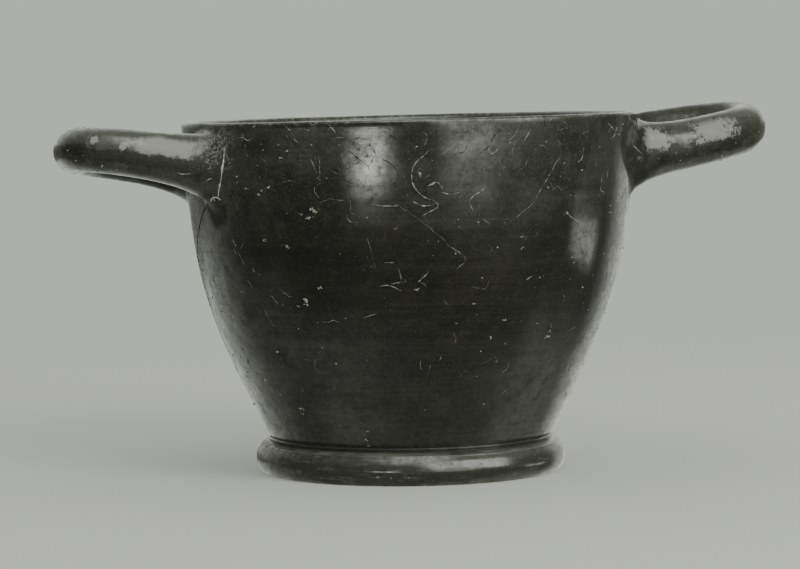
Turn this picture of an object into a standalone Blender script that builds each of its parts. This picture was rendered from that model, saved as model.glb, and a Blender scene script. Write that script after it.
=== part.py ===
"""Kotyle: a deep black-glazed drinking cup with a ring foot and two horizontal loop handles.

The cup is thrown, the ring foot and the two handles are luted on, and the whole is fired, so
it is one solid. Units are metres, +Z is up, the cup stands on z = 0 and its handles lie along X.
The origin is the centre of the footprint, handles included. The handles are hand-rolled and
reach out by unlike amounts, so the turning axis of the bowl stands a little to one side of it.
"""

import math
from dataclasses import dataclass

import bmesh
import bpy
from mathutils import Vector

MM = 0.001

# Driving dimensions of the bowl.
HEIGHT = 96.0 * MM
LIP_RADIUS = 62.0 * MM
LIP_THICKNESS = 3.6 * MM
UPPER_FLARE = 0.098  # outward run of the upper wall for each unit of rise
LOWER_FLARE = 0.474  # the same for the wall below the turn
TURN_RADIUS = 117.0 * MM  # arc that joins the two straight stretches of wall
WALL_THICKNESS_TURN = 4.2 * MM
WALL_THICKNESS_BASE = 5.0 * MM
FLOOR_HEIGHT = 11.3 * MM  # inside floor, above the table
FLOOR_FILLET = 13.0 * MM

# Driving dimensions of the ring foot.
NECK_RADIUS = 39.0 * MM  # where the wall turns in to the groove over the foot
NECK_HEIGHT = 10.3 * MM
GROOVE_RADIUS = 38.4 * MM
GROOVE_HEIGHT = 9.3 * MM
TORUS_CENTRE_RADIUS = 37.2 * MM
TORUS_CENTRE_HEIGHT = 4.6 * MM
TORUS_HALF_WIDTH = 5.0 * MM
TORUS_HALF_HEIGHT = 5.1 * MM
TORUS_TOP = 8.7 * MM
FOOT_INNER_RADIUS = 33.4 * MM
FOOT_INNER_BEVEL = 0.8 * MM
RECESS_RADIUS = 31.4 * MM
RECESS_HEIGHT = 5.2 * MM
RECESS_CENTRE_HEIGHT = 5.8 * MM

# Thrown freehand: towards LEAN_BEARING the mouth rises by one share of the distance, and the
# bowl leans by another share of its height over the foot.
MOUTH_RISE = 0.0136
BOWL_LEAN = 0.0066
LEAN_PIVOT_HEIGHT = 62.0 * MM
LEAN_BEARING = math.radians(-14.5)

TURN_STEPS = 72
LIP_STEPS = 8
TURN_ARC_STEPS = 6
TORUS_STEPS = 10
FILLET_STEPS = 6

# Handles.
ROOT_DEPTH = 1.9 * MM  # how far a handle's end is buried in the wall
HANDLE_SECTIONS = 30
HANDLE_SIDES = 20
SLOPE_STEP = 0.01  # turn round the loop over which its direction is taken
ROOT_HALF_WIDTH = 7.1 * MM
GLAZE_COLOUR = (0.012, 0.012, 0.010, 1.0)
GLAZE_ROUGHNESS = 0.28


@dataclass(frozen=True)
class Handle:
    """One loop handle, measured from the turning axis of the bowl."""

    side: int  # +1 on +X, -1 on -X
    reach: float  # turning axis to the outermost point
    spread: float  # half the distance between the two arms' centre lines
    root_height: float
    bow_height: float  # centre line at the outermost point
    rise_power: float  # under 1 climbs early along the arms, over 1 climbs late
    roundness: float  # 2 is an ellipse in plan; more is a squarer horseshoe
    twist: float  # rise of the loop for each unit of its width, towards +Y on the +X side
    twist_power: float  # small turns the whole loop, large only its bow
    half_height: float  # half the section's height in the bow
    half_width: float  # half the section's width
    arm_swell: float  # extra half height of an arm close to the wall
    root_half_height: float  # half the height of the root on the wall
    root_flare: float  # length over which a root swells out


HANDLES = (
    Handle(
        side=1,
        reach=102.3 * MM,
        spread=16.9 * MM,
        root_height=84.4 * MM,
        bow_height=90.9 * MM,
        rise_power=0.82,
        roundness=2.0,
        twist=0.092,
        twist_power=0.36,
        half_height=6.6 * MM,
        half_width=5.7 * MM,
        arm_swell=0.3 * MM,
        root_half_height=10.6 * MM,
        root_flare=4.8 * MM,
    ),
    Handle(
        side=-1,
        reach=97.2 * MM,
        spread=17.2 * MM,
        root_height=82.6 * MM,
        bow_height=89.0 * MM,
        rise_power=0.64,
        roundness=2.5,
        twist=-0.065,
        twist_power=0.65,
        half_height=5.9 * MM,
        half_width=6.1 * MM,
        arm_swell=0.5 * MM,
        root_half_height=10.3 * MM,
        root_flare=7.6 * MM,
    ),
)

# The turning axis, so that the footprint with both handles is centred on the origin.
AXIS_X = (HANDLES[1].reach - HANDLES[0].reach) / 2


def clear_scene():
    """Removes every object of the opened scene."""
    for old in list(bpy.data.objects):
        bpy.data.objects.remove(old, do_unlink=True)


def glaze_material():
    """The black gloss that covers the whole cup."""
    material = bpy.data.materials.new("black_gloss")
    material.use_nodes = True
    shader = material.node_tree.nodes["Principled BSDF"]
    shader.inputs["Base Color"].default_value = GLAZE_COLOUR
    shader.inputs["Roughness"].default_value = GLAZE_ROUGHNESS
    shader.inputs["Metallic"].default_value = 0.0
    return material


def arc(centre, half_width, half_height, start, end, steps):
    """Points (radius, height) of an elliptic arc from angle start to angle end."""
    points = []
    for i in range(steps + 1):
        angle = start + (end - start) * i / steps
        points.append(
            (
                centre[0] + half_width * math.cos(angle),
                centre[1] + half_height * math.sin(angle),
            )
        )
    return points


def turned_wall(top, bottom, radius, steps):
    """Points from top to bottom of a wall of two straight flares joined by an arc."""
    upper, lower = math.atan(UPPER_FLARE), math.atan(LOWER_FLARE)
    rise = top[1] - bottom[1]
    corner_rise = (top[0] - bottom[0] - UPPER_FLARE * rise) / (LOWER_FLARE - UPPER_FLARE)
    corner = (bottom[0] + LOWER_FLARE * corner_rise, bottom[1] + corner_rise)
    tangent = radius * math.tan((lower - upper) / 2)
    start = (corner[0] + tangent * math.sin(upper), corner[1] + tangent * math.cos(upper))
    centre = (start[0] - radius * math.cos(upper), start[1] + radius * math.sin(upper))
    return [top, *arc(centre, radius, radius, -upper, -lower, steps), bottom]


def outer_lip_point():
    """The outermost point of the lip, where its rounding starts."""
    return LIP_RADIUS, HEIGHT - LIP_THICKNESS / 2


def bowl_profile():
    """Points (radius, height) from the middle of the inside floor, up, over the lip and down."""
    half_lip = LIP_THICKNESS / 2
    lip_centre = (LIP_RADIUS - half_lip, HEIGHT - half_lip)
    outer_wall = turned_wall(
        outer_lip_point(), (NECK_RADIUS, NECK_HEIGHT), TURN_RADIUS, TURN_ARC_STEPS
    )
    # The inside wall ends where the fillet of the floor takes over.
    lower_angle = math.atan(LOWER_FLARE)
    fillet_rise = FLOOR_FILLET * (1 - math.sin(lower_angle))
    inner_base_height = FLOOR_HEIGHT + fillet_rise
    inner_base_radius = (
        NECK_RADIUS + LOWER_FLARE * (inner_base_height - NECK_HEIGHT) - WALL_THICKNESS_BASE
    )
    inner_wall = turned_wall(
        (LIP_RADIUS - LIP_THICKNESS, HEIGHT - half_lip),
        (inner_base_radius, inner_base_height),
        TURN_RADIUS + WALL_THICKNESS_TURN,
        TURN_ARC_STEPS,
    )
    fillet_centre = (
        inner_base_radius - FLOOR_FILLET * math.cos(lower_angle),
        FLOOR_HEIGHT + FLOOR_FILLET,
    )
    floor = arc(
        fillet_centre, FLOOR_FILLET, FLOOR_FILLET, -math.pi / 2, -lower_angle, FILLET_STEPS
    )
    lip = arc(lip_centre, half_lip, half_lip, math.pi, 0.0, LIP_STEPS)
    torus_top_angle = math.asin((TORUS_TOP - TORUS_CENTRE_HEIGHT) / TORUS_HALF_HEIGHT)
    torus_rest_angle = -math.asin(TORUS_CENTRE_HEIGHT / TORUS_HALF_HEIGHT)
    torus = arc(
        (TORUS_CENTRE_RADIUS, TORUS_CENTRE_HEIGHT),
        TORUS_HALF_WIDTH,
        TORUS_HALF_HEIGHT,
        torus_top_angle,
        torus_rest_angle,
        TORUS_STEPS,
    )
    underside = [
        (FOOT_INNER_RADIUS, 0.0),
        (FOOT_INNER_RADIUS - FOOT_INNER_BEVEL, FOOT_INNER_BEVEL),
        (RECESS_RADIUS, RECESS_HEIGHT),
        (0.0, RECESS_CENTRE_HEIGHT),
    ]
    inside = floor[:-1] + inner_wall[::-1]
    return [
        (0.0, FLOOR_HEIGHT),
        *inside[:-1],
        *lip[:-1],
        *outer_wall,
        (GROOVE_RADIUS, GROOVE_HEIGHT),
        *torus,
        *underside,
    ]


def link(name, mesh, collection):
    """A new object of that mesh in that collection."""
    made = bpy.data.objects.new(name, mesh)
    collection.objects.link(made)
    return made


def realised(source, name, collection):
    """The evaluated source as a plain welded mesh object, after which the source is removed."""
    graph = bpy.context.evaluated_depsgraph_get()
    mesh = bpy.data.meshes.new_from_object(source.evaluated_get(graph))
    mesh.name = name
    bpy.data.objects.remove(source, do_unlink=True)
    shape = bmesh.new()
    shape.from_mesh(mesh)
    bmesh.ops.remove_doubles(shape, verts=shape.verts, dist=0.00001)
    shape.to_mesh(mesh)
    shape.free()
    return link(name, mesh, collection)


def turned_bowl(collection):
    """The bowl with its foot, turned from the profile and leaned at the mouth."""
    profile = bowl_profile()
    outline = bpy.data.meshes.new("bowl_profile")
    edges = [(i, i + 1) for i in range(len(profile) - 1)]
    outline.from_pydata([(radius, 0.0, height) for radius, height in profile], edges, [])
    spun = link("bowl_profile", outline, collection)
    screw = spun.modifiers.new("turning", "SCREW")
    screw.angle = 2 * math.pi
    screw.steps = screw.render_steps = TURN_STEPS
    screw.use_merge_vertices = True
    screw.merge_threshold = 0.00001
    bpy.context.view_layer.update()
    bowl = realised(spun, "kotyle", collection)
    for vertex in bowl.data.vertices:
        vertex.co = placed(vertex.co)
    return bowl


def placed(point):
    """A point of the true bowl, thrown out of true and moved to the turning axis."""
    x, y, z = point
    towards_x, towards_y = math.cos(LEAN_BEARING), math.sin(LEAN_BEARING)
    along = x * towards_x + y * towards_y
    lean = BOWL_LEAN * (z - LEAN_PIVOT_HEIGHT)
    rise = MOUTH_RISE * along * z / HEIGHT
    return Vector((x + AXIS_X + lean * towards_x, y + lean * towards_y, z + rise))


def wall_radius(height):
    """Outer radius of the straight upper wall at a height."""
    lip_radius, lip_height = outer_lip_point()
    return lip_radius - UPPER_FLARE * (lip_height - height)


def wall_to_bow(handle, angle):
    """How far out a point of the loop is: 0 at the wall, 1 at the outermost point."""
    return abs(math.cos(angle)) ** (2 / handle.roundness)


def centre_line(handle, angle):
    """A point of the loop's centre line; angle runs from -90 degrees to 90 round the loop."""
    out = wall_to_bow(handle, angle)
    across = math.copysign(abs(math.sin(angle)) ** (2 / handle.roundness), math.sin(angle))
    climb = (handle.bow_height - handle.root_height) * out**handle.rise_power
    root = math.sqrt(wall_radius(handle.root_height) ** 2 - handle.spread**2) - ROOT_DEPTH
    bow = handle.reach - handle.half_width
    return Vector(
        (root + (bow - root) * out, handle.spread * across, handle.root_height + climb)
    )


def handle_section(handle, angle):
    """One ring of points round a handle, square to its centre line in plan."""
    half_turn = math.pi / 2
    middle = centre_line(handle, angle)
    before = centre_line(handle, max(angle - SLOPE_STEP, -half_turn))
    after = centre_line(handle, min(angle + SLOPE_STEP, half_turn))
    sideways = Vector((after.y - before.y, before.x - after.x, 0.0)).normalized()
    out = wall_to_bow(handle, angle)
    flare = math.exp(-(middle.x - centre_line(handle, half_turn).x) / handle.root_flare)
    arm_height = handle.half_height + handle.arm_swell * (1 - out)
    half_height = arm_height + (handle.root_half_height - arm_height) * flare
    half_width = handle.half_width + (ROOT_HALF_WIDTH - handle.half_width) * flare
    tilt = handle.twist * handle.side * out**handle.twist_power
    ring = []
    for i in range(HANDLE_SIDES):
        turn = 2 * math.pi * i / HANDLE_SIDES
        point = middle + sideways * (half_width * math.cos(turn))
        point.z += half_height * math.sin(turn) + tilt * point.y
        ring.append(point)
    return ring


def on_wall(point):
    """The point moved in or out until it is buried in the wall by ROOT_DEPTH."""
    radius = wall_radius(min(point.z, HEIGHT - LIP_THICKNESS)) - ROOT_DEPTH
    return Vector((math.sqrt(radius**2 - point.y**2), point.y, point.z))


def looped_handle(handle, collection):
    """A handle lofted between its rings, whose ends lie inside the wall of the bowl."""
    half_turn = math.pi / 2
    last = HANDLE_SECTIONS - 1
    angles = [-half_turn * math.cos(math.pi * i / last) for i in range(HANDLE_SECTIONS)]
    rings = [handle_section(handle, angle) for angle in angles]
    rings[0] = [on_wall(point) for point in rings[0]]
    rings[-1] = [on_wall(point) for point in rings[-1]]
    shape = bmesh.new()
    loops = []
    for ring in rings:
        turned = [Vector((handle.side * p.x, handle.side * p.y, p.z)) for p in ring]
        loops.append([shape.verts.new(placed(point)) for point in turned])
    for near, far in zip(loops, loops[1:]):
        for i in range(HANDLE_SIDES):
            j = (i + 1) % HANDLE_SIDES
            shape.faces.new((near[i], near[j], far[j], far[i]))
    shape.faces.new(loops[0])
    shape.faces.new(loops[-1])
    bmesh.ops.recalc_face_normals(shape, faces=shape.faces)
    bmesh.ops.triangulate(shape, faces=shape.faces)
    mesh = bpy.data.meshes.new("handle")
    shape.to_mesh(mesh)
    shape.free()
    return link("handle", mesh, collection)


def lute(bowl, handle):
    """Joins a handle to the bowl, as one body."""
    handle.hide_render = True
    handle.display_type = "WIRE"
    joint = bowl.modifiers.new("luting", "BOOLEAN")
    joint.operation = "UNION"
    joint.object = handle


def main():
    """Builds the cup."""
    clear_scene()
    pottery = bpy.data.collections.new("kotyle")
    helpers = bpy.data.collections.new("handles_before_luting")
    for collection in (pottery, helpers):
        bpy.context.scene.collection.children.link(collection)
    bowl = turned_bowl(pottery)
    for handle in HANDLES:
        lute(bowl, looped_handle(handle, helpers))
    bpy.context.view_layer.update()
    cup = realised(bowl, "kotyle", pottery)
    cup.data.materials.clear()
    cup.data.materials.append(glaze_material())
    cup.data.shade_smooth()
    cup.data.set_sharp_from_angle(angle=math.radians(35))


main()
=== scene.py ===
"""Kotyle: the look of an old black-glazed drinking cup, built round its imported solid.

The cup stands on z = 0 with its handles along X. Everything is in metres, in the row frame.
A place on the wall is a bearing, in degrees from the front (-Y) towards +X, and a height
above the table. Fine relief is real: the bowl is turned and the handles are rolled by
Geometry Nodes, the handles are luted on and smoothed over, and the old cup's crack, mend,
root marks, crumbs and worn edges are made on top of that.
"""

import logging
import math
from collections.abc import Callable, Iterable
from dataclasses import dataclass, field
from enum import Enum
from functools import reduce

import bmesh
import bpy
import numpy as np
from mathutils import Matrix, Vector
from mathutils.bvhtree import BVHTree


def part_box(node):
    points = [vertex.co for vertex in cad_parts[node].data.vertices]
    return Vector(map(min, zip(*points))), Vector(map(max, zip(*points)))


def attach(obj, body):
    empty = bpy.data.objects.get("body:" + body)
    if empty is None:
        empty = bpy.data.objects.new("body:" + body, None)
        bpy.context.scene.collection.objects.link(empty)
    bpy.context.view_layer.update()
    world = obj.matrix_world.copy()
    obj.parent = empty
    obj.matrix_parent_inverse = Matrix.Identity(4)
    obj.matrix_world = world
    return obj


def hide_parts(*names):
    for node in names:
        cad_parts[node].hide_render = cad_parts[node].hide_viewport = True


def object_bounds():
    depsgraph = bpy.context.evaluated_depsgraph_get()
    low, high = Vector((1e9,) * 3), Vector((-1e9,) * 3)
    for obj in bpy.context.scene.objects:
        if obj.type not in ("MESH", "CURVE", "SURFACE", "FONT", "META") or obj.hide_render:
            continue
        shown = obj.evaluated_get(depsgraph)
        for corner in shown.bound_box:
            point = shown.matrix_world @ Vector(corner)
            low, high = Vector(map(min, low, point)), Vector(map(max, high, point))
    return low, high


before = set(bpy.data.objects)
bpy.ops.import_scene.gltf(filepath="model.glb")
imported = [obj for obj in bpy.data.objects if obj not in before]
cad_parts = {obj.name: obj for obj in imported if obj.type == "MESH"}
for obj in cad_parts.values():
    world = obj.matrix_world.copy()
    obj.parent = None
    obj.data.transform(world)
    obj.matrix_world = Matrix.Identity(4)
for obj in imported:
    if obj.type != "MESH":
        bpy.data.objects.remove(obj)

MM = 0.001
NODE = "kotyle"
BODY = "root"
QUARTER_TURN = math.pi / 2
WHOLE_TURN = 2 * math.pi
AXIS_X = -2.55 * MM  # where the turning axis of the cup stands
WELD = 1e-6  # points closer than this are one

CAD_LOW, CAD_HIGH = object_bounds()
NODE_LOW, NODE_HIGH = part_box(NODE)

log = logging.getLogger("kotyle")

Pair = tuple[float, float]
Colour = tuple[float, float, float, float]
Rows = np.ndarray
Object = bpy.types.Object
Material = bpy.types.Material


# ------------------------------------------------------------------ node sheets


def operator(operation: str, turned: bool = False) -> Callable[..., "Signal"]:
    """Makes an operator of Signal.

    Args:
        operation: The Math node's operation.
        turned: Whether the signal is the last term, as in the reflected operators.

    Returns:
        The method.
    """

    def method(self: "Signal", *others: "Signal | float") -> "Signal":
        """The node's result."""
        terms = (*others, self) if turned else (self, *others)
        return self.sheet.maths(operation, *terms)

    return method


class Signal:
    """What a node gives, as a value that sums can be written with."""

    def __init__(self, sheet: "Sheet", socket: bpy.types.NodeSocket) -> None:
        """Keeps the sheet that the socket is on."""
        self.sheet = sheet
        self.socket = socket

    __add__, __radd__ = operator("ADD"), operator("ADD", True)
    __sub__, __rsub__ = operator("SUBTRACT"), operator("SUBTRACT", True)
    __mul__, __rmul__ = operator("MULTIPLY"), operator("MULTIPLY", True)
    __truediv__, __mod__, __pow__ = operator("DIVIDE"), operator("MODULO"), operator("POWER")
    __abs__ = operator("ABSOLUTE")

    def other(self, out: int | str) -> "Signal":
        """Another output of the same node."""
        return Signal(self.sheet, self.socket.node.outputs[out])


Number = Signal | float
Value = Signal | float | int | str | tuple | bpy.types.ID
Settings = dict[str, str | bool] | None
Sockets = dict[int | str, Value] | None


class Sheet:
    """A node tree being laid out, for a finish or for a shape."""

    def __init__(self, tree: bpy.types.NodeTree) -> None:
        """Starts an empty sheet on the tree."""
        tree.nodes.clear()
        self.tree = tree

    def add(
        self, kind: str, settings: Settings = None, sockets: Sockets = None, out: int | str = 0
    ) -> Signal:
        """Adds one node.

        Args:
            kind: The node's type.
            settings: What the node is set to.
            sockets: Values or links of its inputs, by name or number.
            out: The output that is wanted.

        Returns:
            The signal of that output.
        """
        node = self.tree.nodes.new(kind)
        for name, value in (settings or {}).items():
            setattr(node, name, value)
        for key, value in (sockets or {}).items():
            if isinstance(value, Signal):
                self.tree.links.new(value.socket, node.inputs[key])
            else:
                node.inputs[key].default_value = value
        return Signal(self, node.outputs[out] if node.outputs else None)

    def maths(self, operation: str, *terms: Number) -> Signal:
        """A Math node of that operation on the terms."""
        return self.add("ShaderNodeMath", {"operation": operation}, dict(enumerate(terms)))

    def most(self, *terms: Number) -> Signal:
        """The greatest of the terms."""
        return reduce(lambda one, other: self.maths("MAXIMUM", one, other), terms)

    def vectors(self, operation: str, *terms: Signal | tuple, out: int = 0) -> Signal:
        """A Vector Math node of that operation on the terms."""
        sockets = dict(enumerate(terms))
        return self.add("ShaderNodeVectorMath", {"operation": operation}, sockets, out)

    def scaled(self, vector: Signal, factor: Number) -> Signal:
        """The vector times a number."""
        sockets = {0: vector, "Scale": factor}
        return self.add("ShaderNodeVectorMath", {"operation": "SCALE"}, sockets)

    def apart(self, place: Signal, millimetres: Iterable[float]) -> Signal:
        """The distance from a place given in millimetres."""
        other = tuple(value * MM for value in millimetres)
        return self.vectors("DISTANCE", place, other, out=1)

    def joined(self, x: Number, y: Number, z: Number) -> Signal:
        """The vector of three numbers."""
        return self.add("ShaderNodeCombineXYZ", None, {0: x, 1: y, 2: z})

    def split(self, vector: Signal) -> tuple[Signal, Signal, Signal]:
        """The three numbers of a vector."""
        first = self.add("ShaderNodeSeparateXYZ", None, {0: vector})
        return first, first.other(1), first.other(2)

    def eased(
        self, value: Signal, low: float, high: float, start: float = 0.0, end: float = 1.0
    ) -> Signal:
        """Eases from start to end as the value goes from low to high.

        Args:
            value: The driving signal.
            low: Value at which the result is start.
            high: Value at which it is end.
            start: First result.
            end: Last result.

        Returns:
            The eased signal.
        """
        if high < low:
            low, high, start, end = high, low, end, start
        sockets = {0: value, 1: low, 2: high, 3: start, 4: end}
        return self.add("ShaderNodeMapRange", {"interpolation_type": "SMOOTHSTEP"}, sockets)

    def noise(self, place: Signal, scale: Number, *layers: float) -> Signal:
        """Cloudy noise, about 0.5 on average.

        Args:
            place: Where it is read.
            scale: How many clouds there are in a metre.
            layers: How many finer layers it has, how strong they are and how far distorted.

        Returns:
            The noise.
        """
        names = ("Vector", "Scale", "Detail", "Roughness", "Distortion")
        sockets = dict(zip(names, (place, scale, *layers)))
        return self.add("ShaderNodeTexNoise", None, sockets)

    def streaks(self, place: Signal, around: float, up: float, *layers: float) -> Signal:
        """Noise with so many clouds in a metre round the cup and so many in a metre of height."""
        return self.noise(self.vectors("MULTIPLY", place, (around, around, up)), 1.0, *layers)

    def stirred(self, start: Number, *layers: tuple[Signal, Number]) -> Number:
        """Adds noises to a value, each above and below its middle.

        Args:
            start: The value.
            layers: Each noise and its amount.

        Returns:
            The sum.
        """
        for noise, amount in layers:
            start = (noise - 0.5) * amount + start
        return start

    def blend(self, share: Number, first: Signal | tuple, second: Signal | tuple) -> Signal:
        """Goes from the first colour to the second as the share goes from 0 to 1."""
        sockets = {0: share, 6: first, 7: second}
        return self.add("ShaderNodeMix", {"data_type": "RGBA"}, sockets, 2)

    def light(self, kind: str, colour: tuple, strength: Number) -> Signal:
        """A glow of that colour, as an Emission or a Background node."""
        return self.add(f"ShaderNode{kind}", None, {"Color": colour, "Strength": strength})

    def mixed(self, share: Number, first: Signal, second: Signal) -> Signal:
        """Goes from the first shader to the second as the share goes from 0 to 1."""
        return self.add("ShaderNodeMixShader", None, {0: share, 1: first, 2: second})

    def shaded(self, lumps: Signal, sockets: dict[str, Value]) -> None:
        """Ends a finish with its shader.

        Args:
            lumps: Its relief, in metres.
            sockets: What its shader takes besides.
        """
        relief = {"Strength": 1.0, "Distance": 1.0, "Height": lumps}
        bump = self.add("ShaderNodeBump", None, relief)
        shader = self.add("ShaderNodeBsdfPrincipled", None, {**sockets, "Normal": bump})
        self.add("ShaderNodeOutputMaterial", None, {0: shader})


class ShapeTree(Sheet):
    """A Geometry Nodes tree with named inputs, run once on an object."""

    def __init__(self, name: str) -> None:
        """Starts a tree.

        Args:
            name: Its name.
        """
        super().__init__(bpy.data.node_groups.new(name, "GeometryNodeTree"))
        for way in ("INPUT", "OUTPUT"):
            self.socket("Geometry", "Geometry", way)
        self.entry = self.tree.nodes.new("NodeGroupInput")
        self.values: dict[str, Value] = {}

    @property
    def geometry(self) -> Signal:
        """What the object holds before the tree."""
        return Signal(self, self.entry.outputs[0])

    def socket(self, name: str, kind: str, way: str = "INPUT") -> bpy.types.NodeTreeInterfaceItem:
        """Gives the tree an input or output of that name and kind."""
        kind = f"NodeSocket{kind}"
        return self.tree.interface.new_socket(name, in_out=way, socket_type=kind)

    def size(self, name: str, value: float | int | bpy.types.ID) -> Signal:
        """A named input of the tree.

        Args:
            name: Its name.
            value: Its value on this object.

        Returns:
            Its signal.
        """
        kinds = {int: "Int", float: "Float", Material: "Material"}
        made = self.socket(name, kinds.get(type(value), "Object"))
        self.values[made.identifier] = value
        found = [item for item in self.entry.outputs if item.identifier == made.identifier]
        return Signal(self, found[0])

    def sizes(self, piece: object, *names: str) -> list[Signal]:
        """Named inputs for the sizes that a piece has under those names."""
        return [self.size(name.replace("_", " "), getattr(piece, name)) for name in names]

    def here(self) -> Signal:
        """The place of each point."""
        return self.add("GeometryNodeInputPosition")

    def kept(self, name: str, vector: bool = False) -> Signal:
        """The number or vector that each point keeps under a name."""
        settings = {"data_type": "FLOAT_VECTOR" if vector else "FLOAT"}
        return self.add("GeometryNodeInputNamedAttribute", settings, {0: name})

    def keeping(self, points: Signal, name: str, value: Signal) -> Signal:
        """The same points, each keeping a number under a name."""
        sockets = {"Geometry": points, "Name": name, "Value": value}
        return self.add("GeometryNodeStoreNamedAttribute", {"domain": "POINT"}, sockets)

    def moved(self, geometry: Signal, **where: Signal) -> Signal:
        """A geometry with its points moved to a Position or by an Offset."""
        return self.add("GeometryNodeSetPosition", None, {"Geometry": geometry, **where})

    def chance(self, seed: int | Signal, low: float | tuple, high: float | tuple) -> Signal:
        """Draws a number or vector for each point.

        Args:
            seed: Which draw it is.
            low: The least it can be.
            high: The most it can be.

        Returns:
            The number or vector.
        """
        vector = isinstance(low, tuple)
        settings = {"data_type": "FLOAT_VECTOR" if vector else "FLOAT"}
        sockets = {0: low, 1: high} if vector else {2: low, 3: high}
        sockets["Seed"] = seed
        return self.add("FunctionNodeRandomValue", settings, sockets, 0 if vector else 1)

    def surface(self, name: str, made: Object) -> Signal:
        """The surface of another object, given as a named input."""
        settings, sockets = {"transform_space": "ORIGINAL"}, {0: self.size(name, made)}
        return self.add("GeometryNodeObjectInfo", settings, sockets, "Geometry")

    def laid_on(self, geometry: Signal, cup: Object) -> Signal:
        """Moves a geometry's points onto the nearest places of the cup.

        Args:
            geometry: What is moved.
            cup: The cup.

        Returns:
            The moved geometry.
        """
        sockets = {0: self.surface("cup", cup)}
        settings = {"target_element": "FACES"}
        nearest = self.add("GeometryNodeProximity", settings, sockets, "Position")
        return self.moved(geometry, Position=nearest)

    def gathered(self, *parts: Signal) -> Signal:
        """Several geometries as one.

        Args:
            parts: The geometries.

        Returns:
            The whole.
        """
        whole = self.add("GeometryNodeJoinGeometry")
        for part in parts:
            self.tree.links.new(part.socket, whole.socket.node.inputs[0])
        return whole

    def grid(self, across: Number, down: Number) -> tuple[Signal, Signal, Signal]:
        """A grid to be bent round into a closed body.

        Args:
            across: How many points each of its rows has.
            down: How many rows it has.

        Returns:
            The grid, and the row and the column of each point.
        """
        sockets = {"Vertices X": across, "Vertices Y": down}
        grid = self.add("GeometryNodeMeshGrid", None, sockets)
        index = self.add("GeometryNodeInputIndex")
        return grid, index % down, self.maths("FLOOR", (index + 0.5) / down)

    def sampled(self, value: Signal, row: Signal, vector: bool = False) -> Signal:
        """What the guide line holds at a point's number.

        Args:
            value: The field that is read there.
            row: The point's number.
            vector: Whether the field is a vector.

        Returns:
            The value.
        """
        settings = {"data_type": "FLOAT_VECTOR" if vector else "FLOAT"}
        sockets = {"Geometry": self.geometry, "Value": value, "Index": row}
        return self.add("GeometryNodeSampleIndex", settings, sockets)

    def close(self, made: Object, grid: Signal, place: Signal) -> None:
        """Ends the tree with the grid bent into a closed body.

        Args:
            made: The object.
            grid: The grid.
            place: Where its points go.
        """
        sockets = {"Geometry": self.moved(grid, Position=place), "Distance": WELD}
        self.run(made, self.add("GeometryNodeMergeByDistance", None, sockets))
        tidied(made.data, WELD)

    def run(self, made: Object, result: Signal) -> None:
        """Ends the tree, runs it on the object and makes the object plain.

        Args:
            made: The object.
            result: The tree's last geometry.
        """
        solid = self.add("GeometryNodeRealizeInstances", None, {0: result})
        clay = bpy.data.materials.get("bare_clay") or bpy.data.materials.new("bare_clay")
        sockets = {"Geometry": solid, "Material": self.size("finish", clay)}
        dressed = self.add("GeometryNodeSetMaterial", None, sockets)
        self.add("NodeGroupOutput", None, {0: dressed})
        modifier = made.modifiers.new(self.tree.name, "NODES")
        modifier.node_group = self.tree
        for identifier, value in self.values.items():
            modifier[identifier] = value
        made_plain(made)


# ------------------------------------------------------------------ meshes


def arc(
    centre: Pair,
    half_width: float,
    half_height: float,
    start: float,
    end: float,
    steps: int,
) -> Rows:
    """Points of an elliptic arc in the plane of the profile.

    Args:
        centre: Radius and height of the arc's centre.
        half_width: Half width of its ellipse.
        half_height: Half height of its ellipse.
        start: Angle it starts at, in radians.
        end: Angle it ends at.
        steps: How many stretches it has.

    Returns:
        Rows of radius and height.
    """
    turn = np.linspace(start, end, steps + 1)
    wide, tall = half_width * np.cos(turn), half_height * np.sin(turn)
    return np.column_stack((centre[0] + wide, centre[1] + tall))


def run_along(points: Rows) -> Rows:
    """How far along a line each of its points is."""
    return np.concatenate(([0.0], np.cumsum(np.linalg.norm(np.diff(points, axis=0), axis=1))))


def evenly(points: Rows, spacing: float) -> Rows:
    """The same line with its points about one spacing apart.

    Args:
        points: Rows of the line.
        spacing: Wanted distance between rows.

    Returns:
        The new rows, both ends included.
    """
    run = run_along(points)
    wanted = np.linspace(0.0, run[-1], max(2, math.ceil(run[-1] / spacing) + 1))
    return np.column_stack([np.interp(wanted, run, column) for column in points.T])


def eased(value: Rows | float, low: float, high: float) -> Rows:
    """Eases from 0 to 1 as the numbers go from low to high."""
    share = np.clip((value - low) / (high - low), 0.0, 1.0)
    return share * share * (3.0 - 2.0 * share)


def link(name: str, data: bpy.types.ID) -> Object:
    """Puts a mesh, light or camera into the scene.

    Args:
        name: Name of the object.
        data: What it holds.

    Returns:
        The object.
    """
    made = bpy.data.objects.new(name, data)
    bpy.context.scene.collection.objects.link(made)
    return made


def four_sided(name: str, corners: list[Vector] | list[tuple]) -> Object:
    """Makes a flat piece with four corners.

    Args:
        name: Name of the object.
        corners: Its corners in turn.

    Returns:
        The object.
    """
    mesh = bpy.data.meshes.new(name)
    mesh.from_pydata(corners, [], [(0, 1, 2, 3)])
    return link(name, mesh)


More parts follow.
